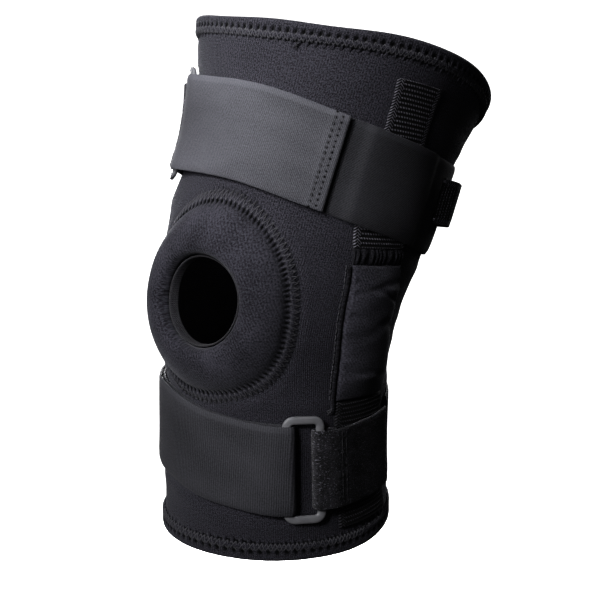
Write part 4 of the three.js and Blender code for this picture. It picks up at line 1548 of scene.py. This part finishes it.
class KNEESLEEVE_OT_stage(bpy.types.Operator):
    """Sets up the pale floor, the soft lights and the camera at the photograph's angle"""

    bl_idname = "knee_sleeve.stage"
    bl_label = "Stage"

    def execute(self, context):
        leg = Leg(context)
        self.floor(leg, context)
        target, away, aside = Vector(LOOKED_AT), Vector(TO_CAMERA), Vector(TO_RIGHT)
        above = away.cross(aside).normalized()
        eye = bpy.data.cameras.new("camera")
        eye.lens = LENS
        eye.sensor_width = 36
        camera = bpy.data.objects.new("camera", eye)
        camera.location = target + away
        camera.rotation_euler = away.to_track_quat("Z", "Y").to_euler()
        context.collection.objects.link(camera)
        context.scene.camera = camera

        for lamp_row in LAMPS:
            self.lamp(context, lamp_row, target, (aside, above, away))

        world = bpy.data.worlds.new("studio")
        world.use_nodes = True
        tree = world.node_tree
        tree.nodes.clear()
        seen = tree.nodes.new("ShaderNodeLightPath")
        pale = tree.nodes.new("ShaderNodeBackground")
        pale.inputs["Strength"].default_value = 1
        faint = tree.nodes.new("ShaderNodeBackground")
        faint.inputs["Strength"].default_value = 0.03
        pick = tree.nodes.new("ShaderNodeMixShader")
        out = tree.nodes.new("ShaderNodeOutputWorld")
        for background in (pale, faint):
            background.inputs["Color"].default_value = (1, 1, 1, 1)
        tree.links.new(seen.outputs["Is Camera Ray"], pick.inputs[0])
        tree.links.new(faint.outputs[0], pick.inputs[1])
        tree.links.new(pale.outputs[0], pick.inputs[2])
        tree.links.new(pick.outputs[0], out.inputs[0])
        context.scene.world = world
        context.scene.view_settings.view_transform = "Standard"
        context.scene.view_settings.look = "High Contrast"
        return {"FINISHED"}

    def lamp(self, context, row, target, axes):
        """Adds a lamp that shines on a place beside or above the target."""
        aside, above, away = axes
        turn, rise = math.radians(row.turn), math.radians(row.rise)
        level = math.cos(turn) * away + math.sin(turn) * aside
        from_there = math.cos(rise) * level + math.sin(rise) * above
        lamp = bpy.data.lights.new(row.name, row.kind)
        lamp.energy = row.watts
        if row.kind == "AREA":
            lamp.shape = "DISK"
            lamp.size = row.size
        else:
            lamp.spot_size = math.radians(row.size)
            lamp.spot_blend = 1
            lamp.shadow_soft_size = 0.1
        light = bpy.data.objects.new(row.name, lamp)
        light.location = target + row.beside * aside + row.over * above + LAMP_DISTANCE * from_there
        light.rotation_euler = from_there.to_track_quat("Z", "Y").to_euler()
        context.collection.objects.link(light)

    def floor(self, leg, context):
        rows, columns = 24, 97
        turn = np.linspace(0, 2 * np.pi, columns)
        reach = np.linspace(0, 1, rows)[:, None] ** 1.5 * FLOOR_REACH
        x, y = reach * np.cos(turn), reach * np.sin(turn)
        points = np.stack(np.broadcast_arrays(x, y, -FLOOR_DROP), -1)
        mesh = bpy.data.meshes.new("floor")
        grid = np.arange(rows * columns).reshape(rows, columns)
        faces = np.stack([grid[:-1, :-1], grid[1:, :-1], grid[1:, 1:], grid[:-1, 1:]], -1).reshape(-1, 4)
        mesh.from_pydata(points.reshape(-1, 3).tolist(), [], faces.tolist())
        mesh.shade_smooth()
        shader = bpy.data.materials.new("floor")
        shader.use_nodes = True
        surface = shader.node_tree.nodes["Principled BSDF"]
        surface.inputs["Base Color"].default_value = (*leg.colour.floor, 1)
        surface.inputs["Roughness"].default_value = 0.9
        surface.inputs["Emission Color"].default_value = (1, 1, 1, 1)
        surface.inputs["Emission Strength"].default_value = 1
        mesh.materials.append(shader)
        floor = bpy.data.objects.new("floor", mesh)
        floor.visible_diffuse = False
        floor.visible_glossy = False
        context.collection.objects.link(floor)


OPERATORS = (
    KNEESLEEVE_OT_tube,
    KNEESLEEVE_OT_hems,
    KNEESLEEVE_OT_pad,
    KNEESLEEVE_OT_straps,
    KNEESLEEVE_OT_rings,
    KNEESLEEVE_OT_tabs,
    KNEESLEEVE_OT_rear_loop,
    KNEESLEEVE_OT_pockets,
    KNEESLEEVE_OT_details,
    KNEESLEEVE_OT_stage,
)


class KNEESLEEVE_PT_panel(bpy.types.Panel):
    """Lists the sizes, the colours and the steps"""

    bl_idname = "KNEESLEEVE_PT_panel"
    bl_label = "Knee Sleeve"
    bl_space_type = "VIEW_3D"
    bl_region_type = "UI"
    bl_category = "Knee Sleeve"

    def draw(self, context):
        for group in (context.scene.knee_sleeve_sizes, context.scene.knee_sleeve_colours):
            column = self.layout.column(align=True)
            for name in group.__annotations__:
                column.prop(group, name)
        for step in OPERATORS:
            self.layout.operator(step.bl_idname)


CLASSES = (KneeSleeveSizes, KneeSleeveColours, *OPERATORS, KNEESLEEVE_PT_panel)


def register():
    for entry in CLASSES:
        bpy.utils.register_class(entry)
    bpy.types.Scene.knee_sleeve_sizes = bpy.props.PointerProperty(type=KneeSleeveSizes)
    bpy.types.Scene.knee_sleeve_colours = bpy.props.PointerProperty(type=KneeSleeveColours)


def unregister():
    del bpy.types.Scene.knee_sleeve_colours
    del bpy.types.Scene.knee_sleeve_sizes
    for entry in reversed(CLASSES):
        bpy.utils.unregister_class(entry)


def main():
    register()
    for step in OPERATORS:
        group, name = step.bl_idname.split(".")
        getattr(getattr(bpy.ops, group), name)()


if __name__ == "__main__":
    main()
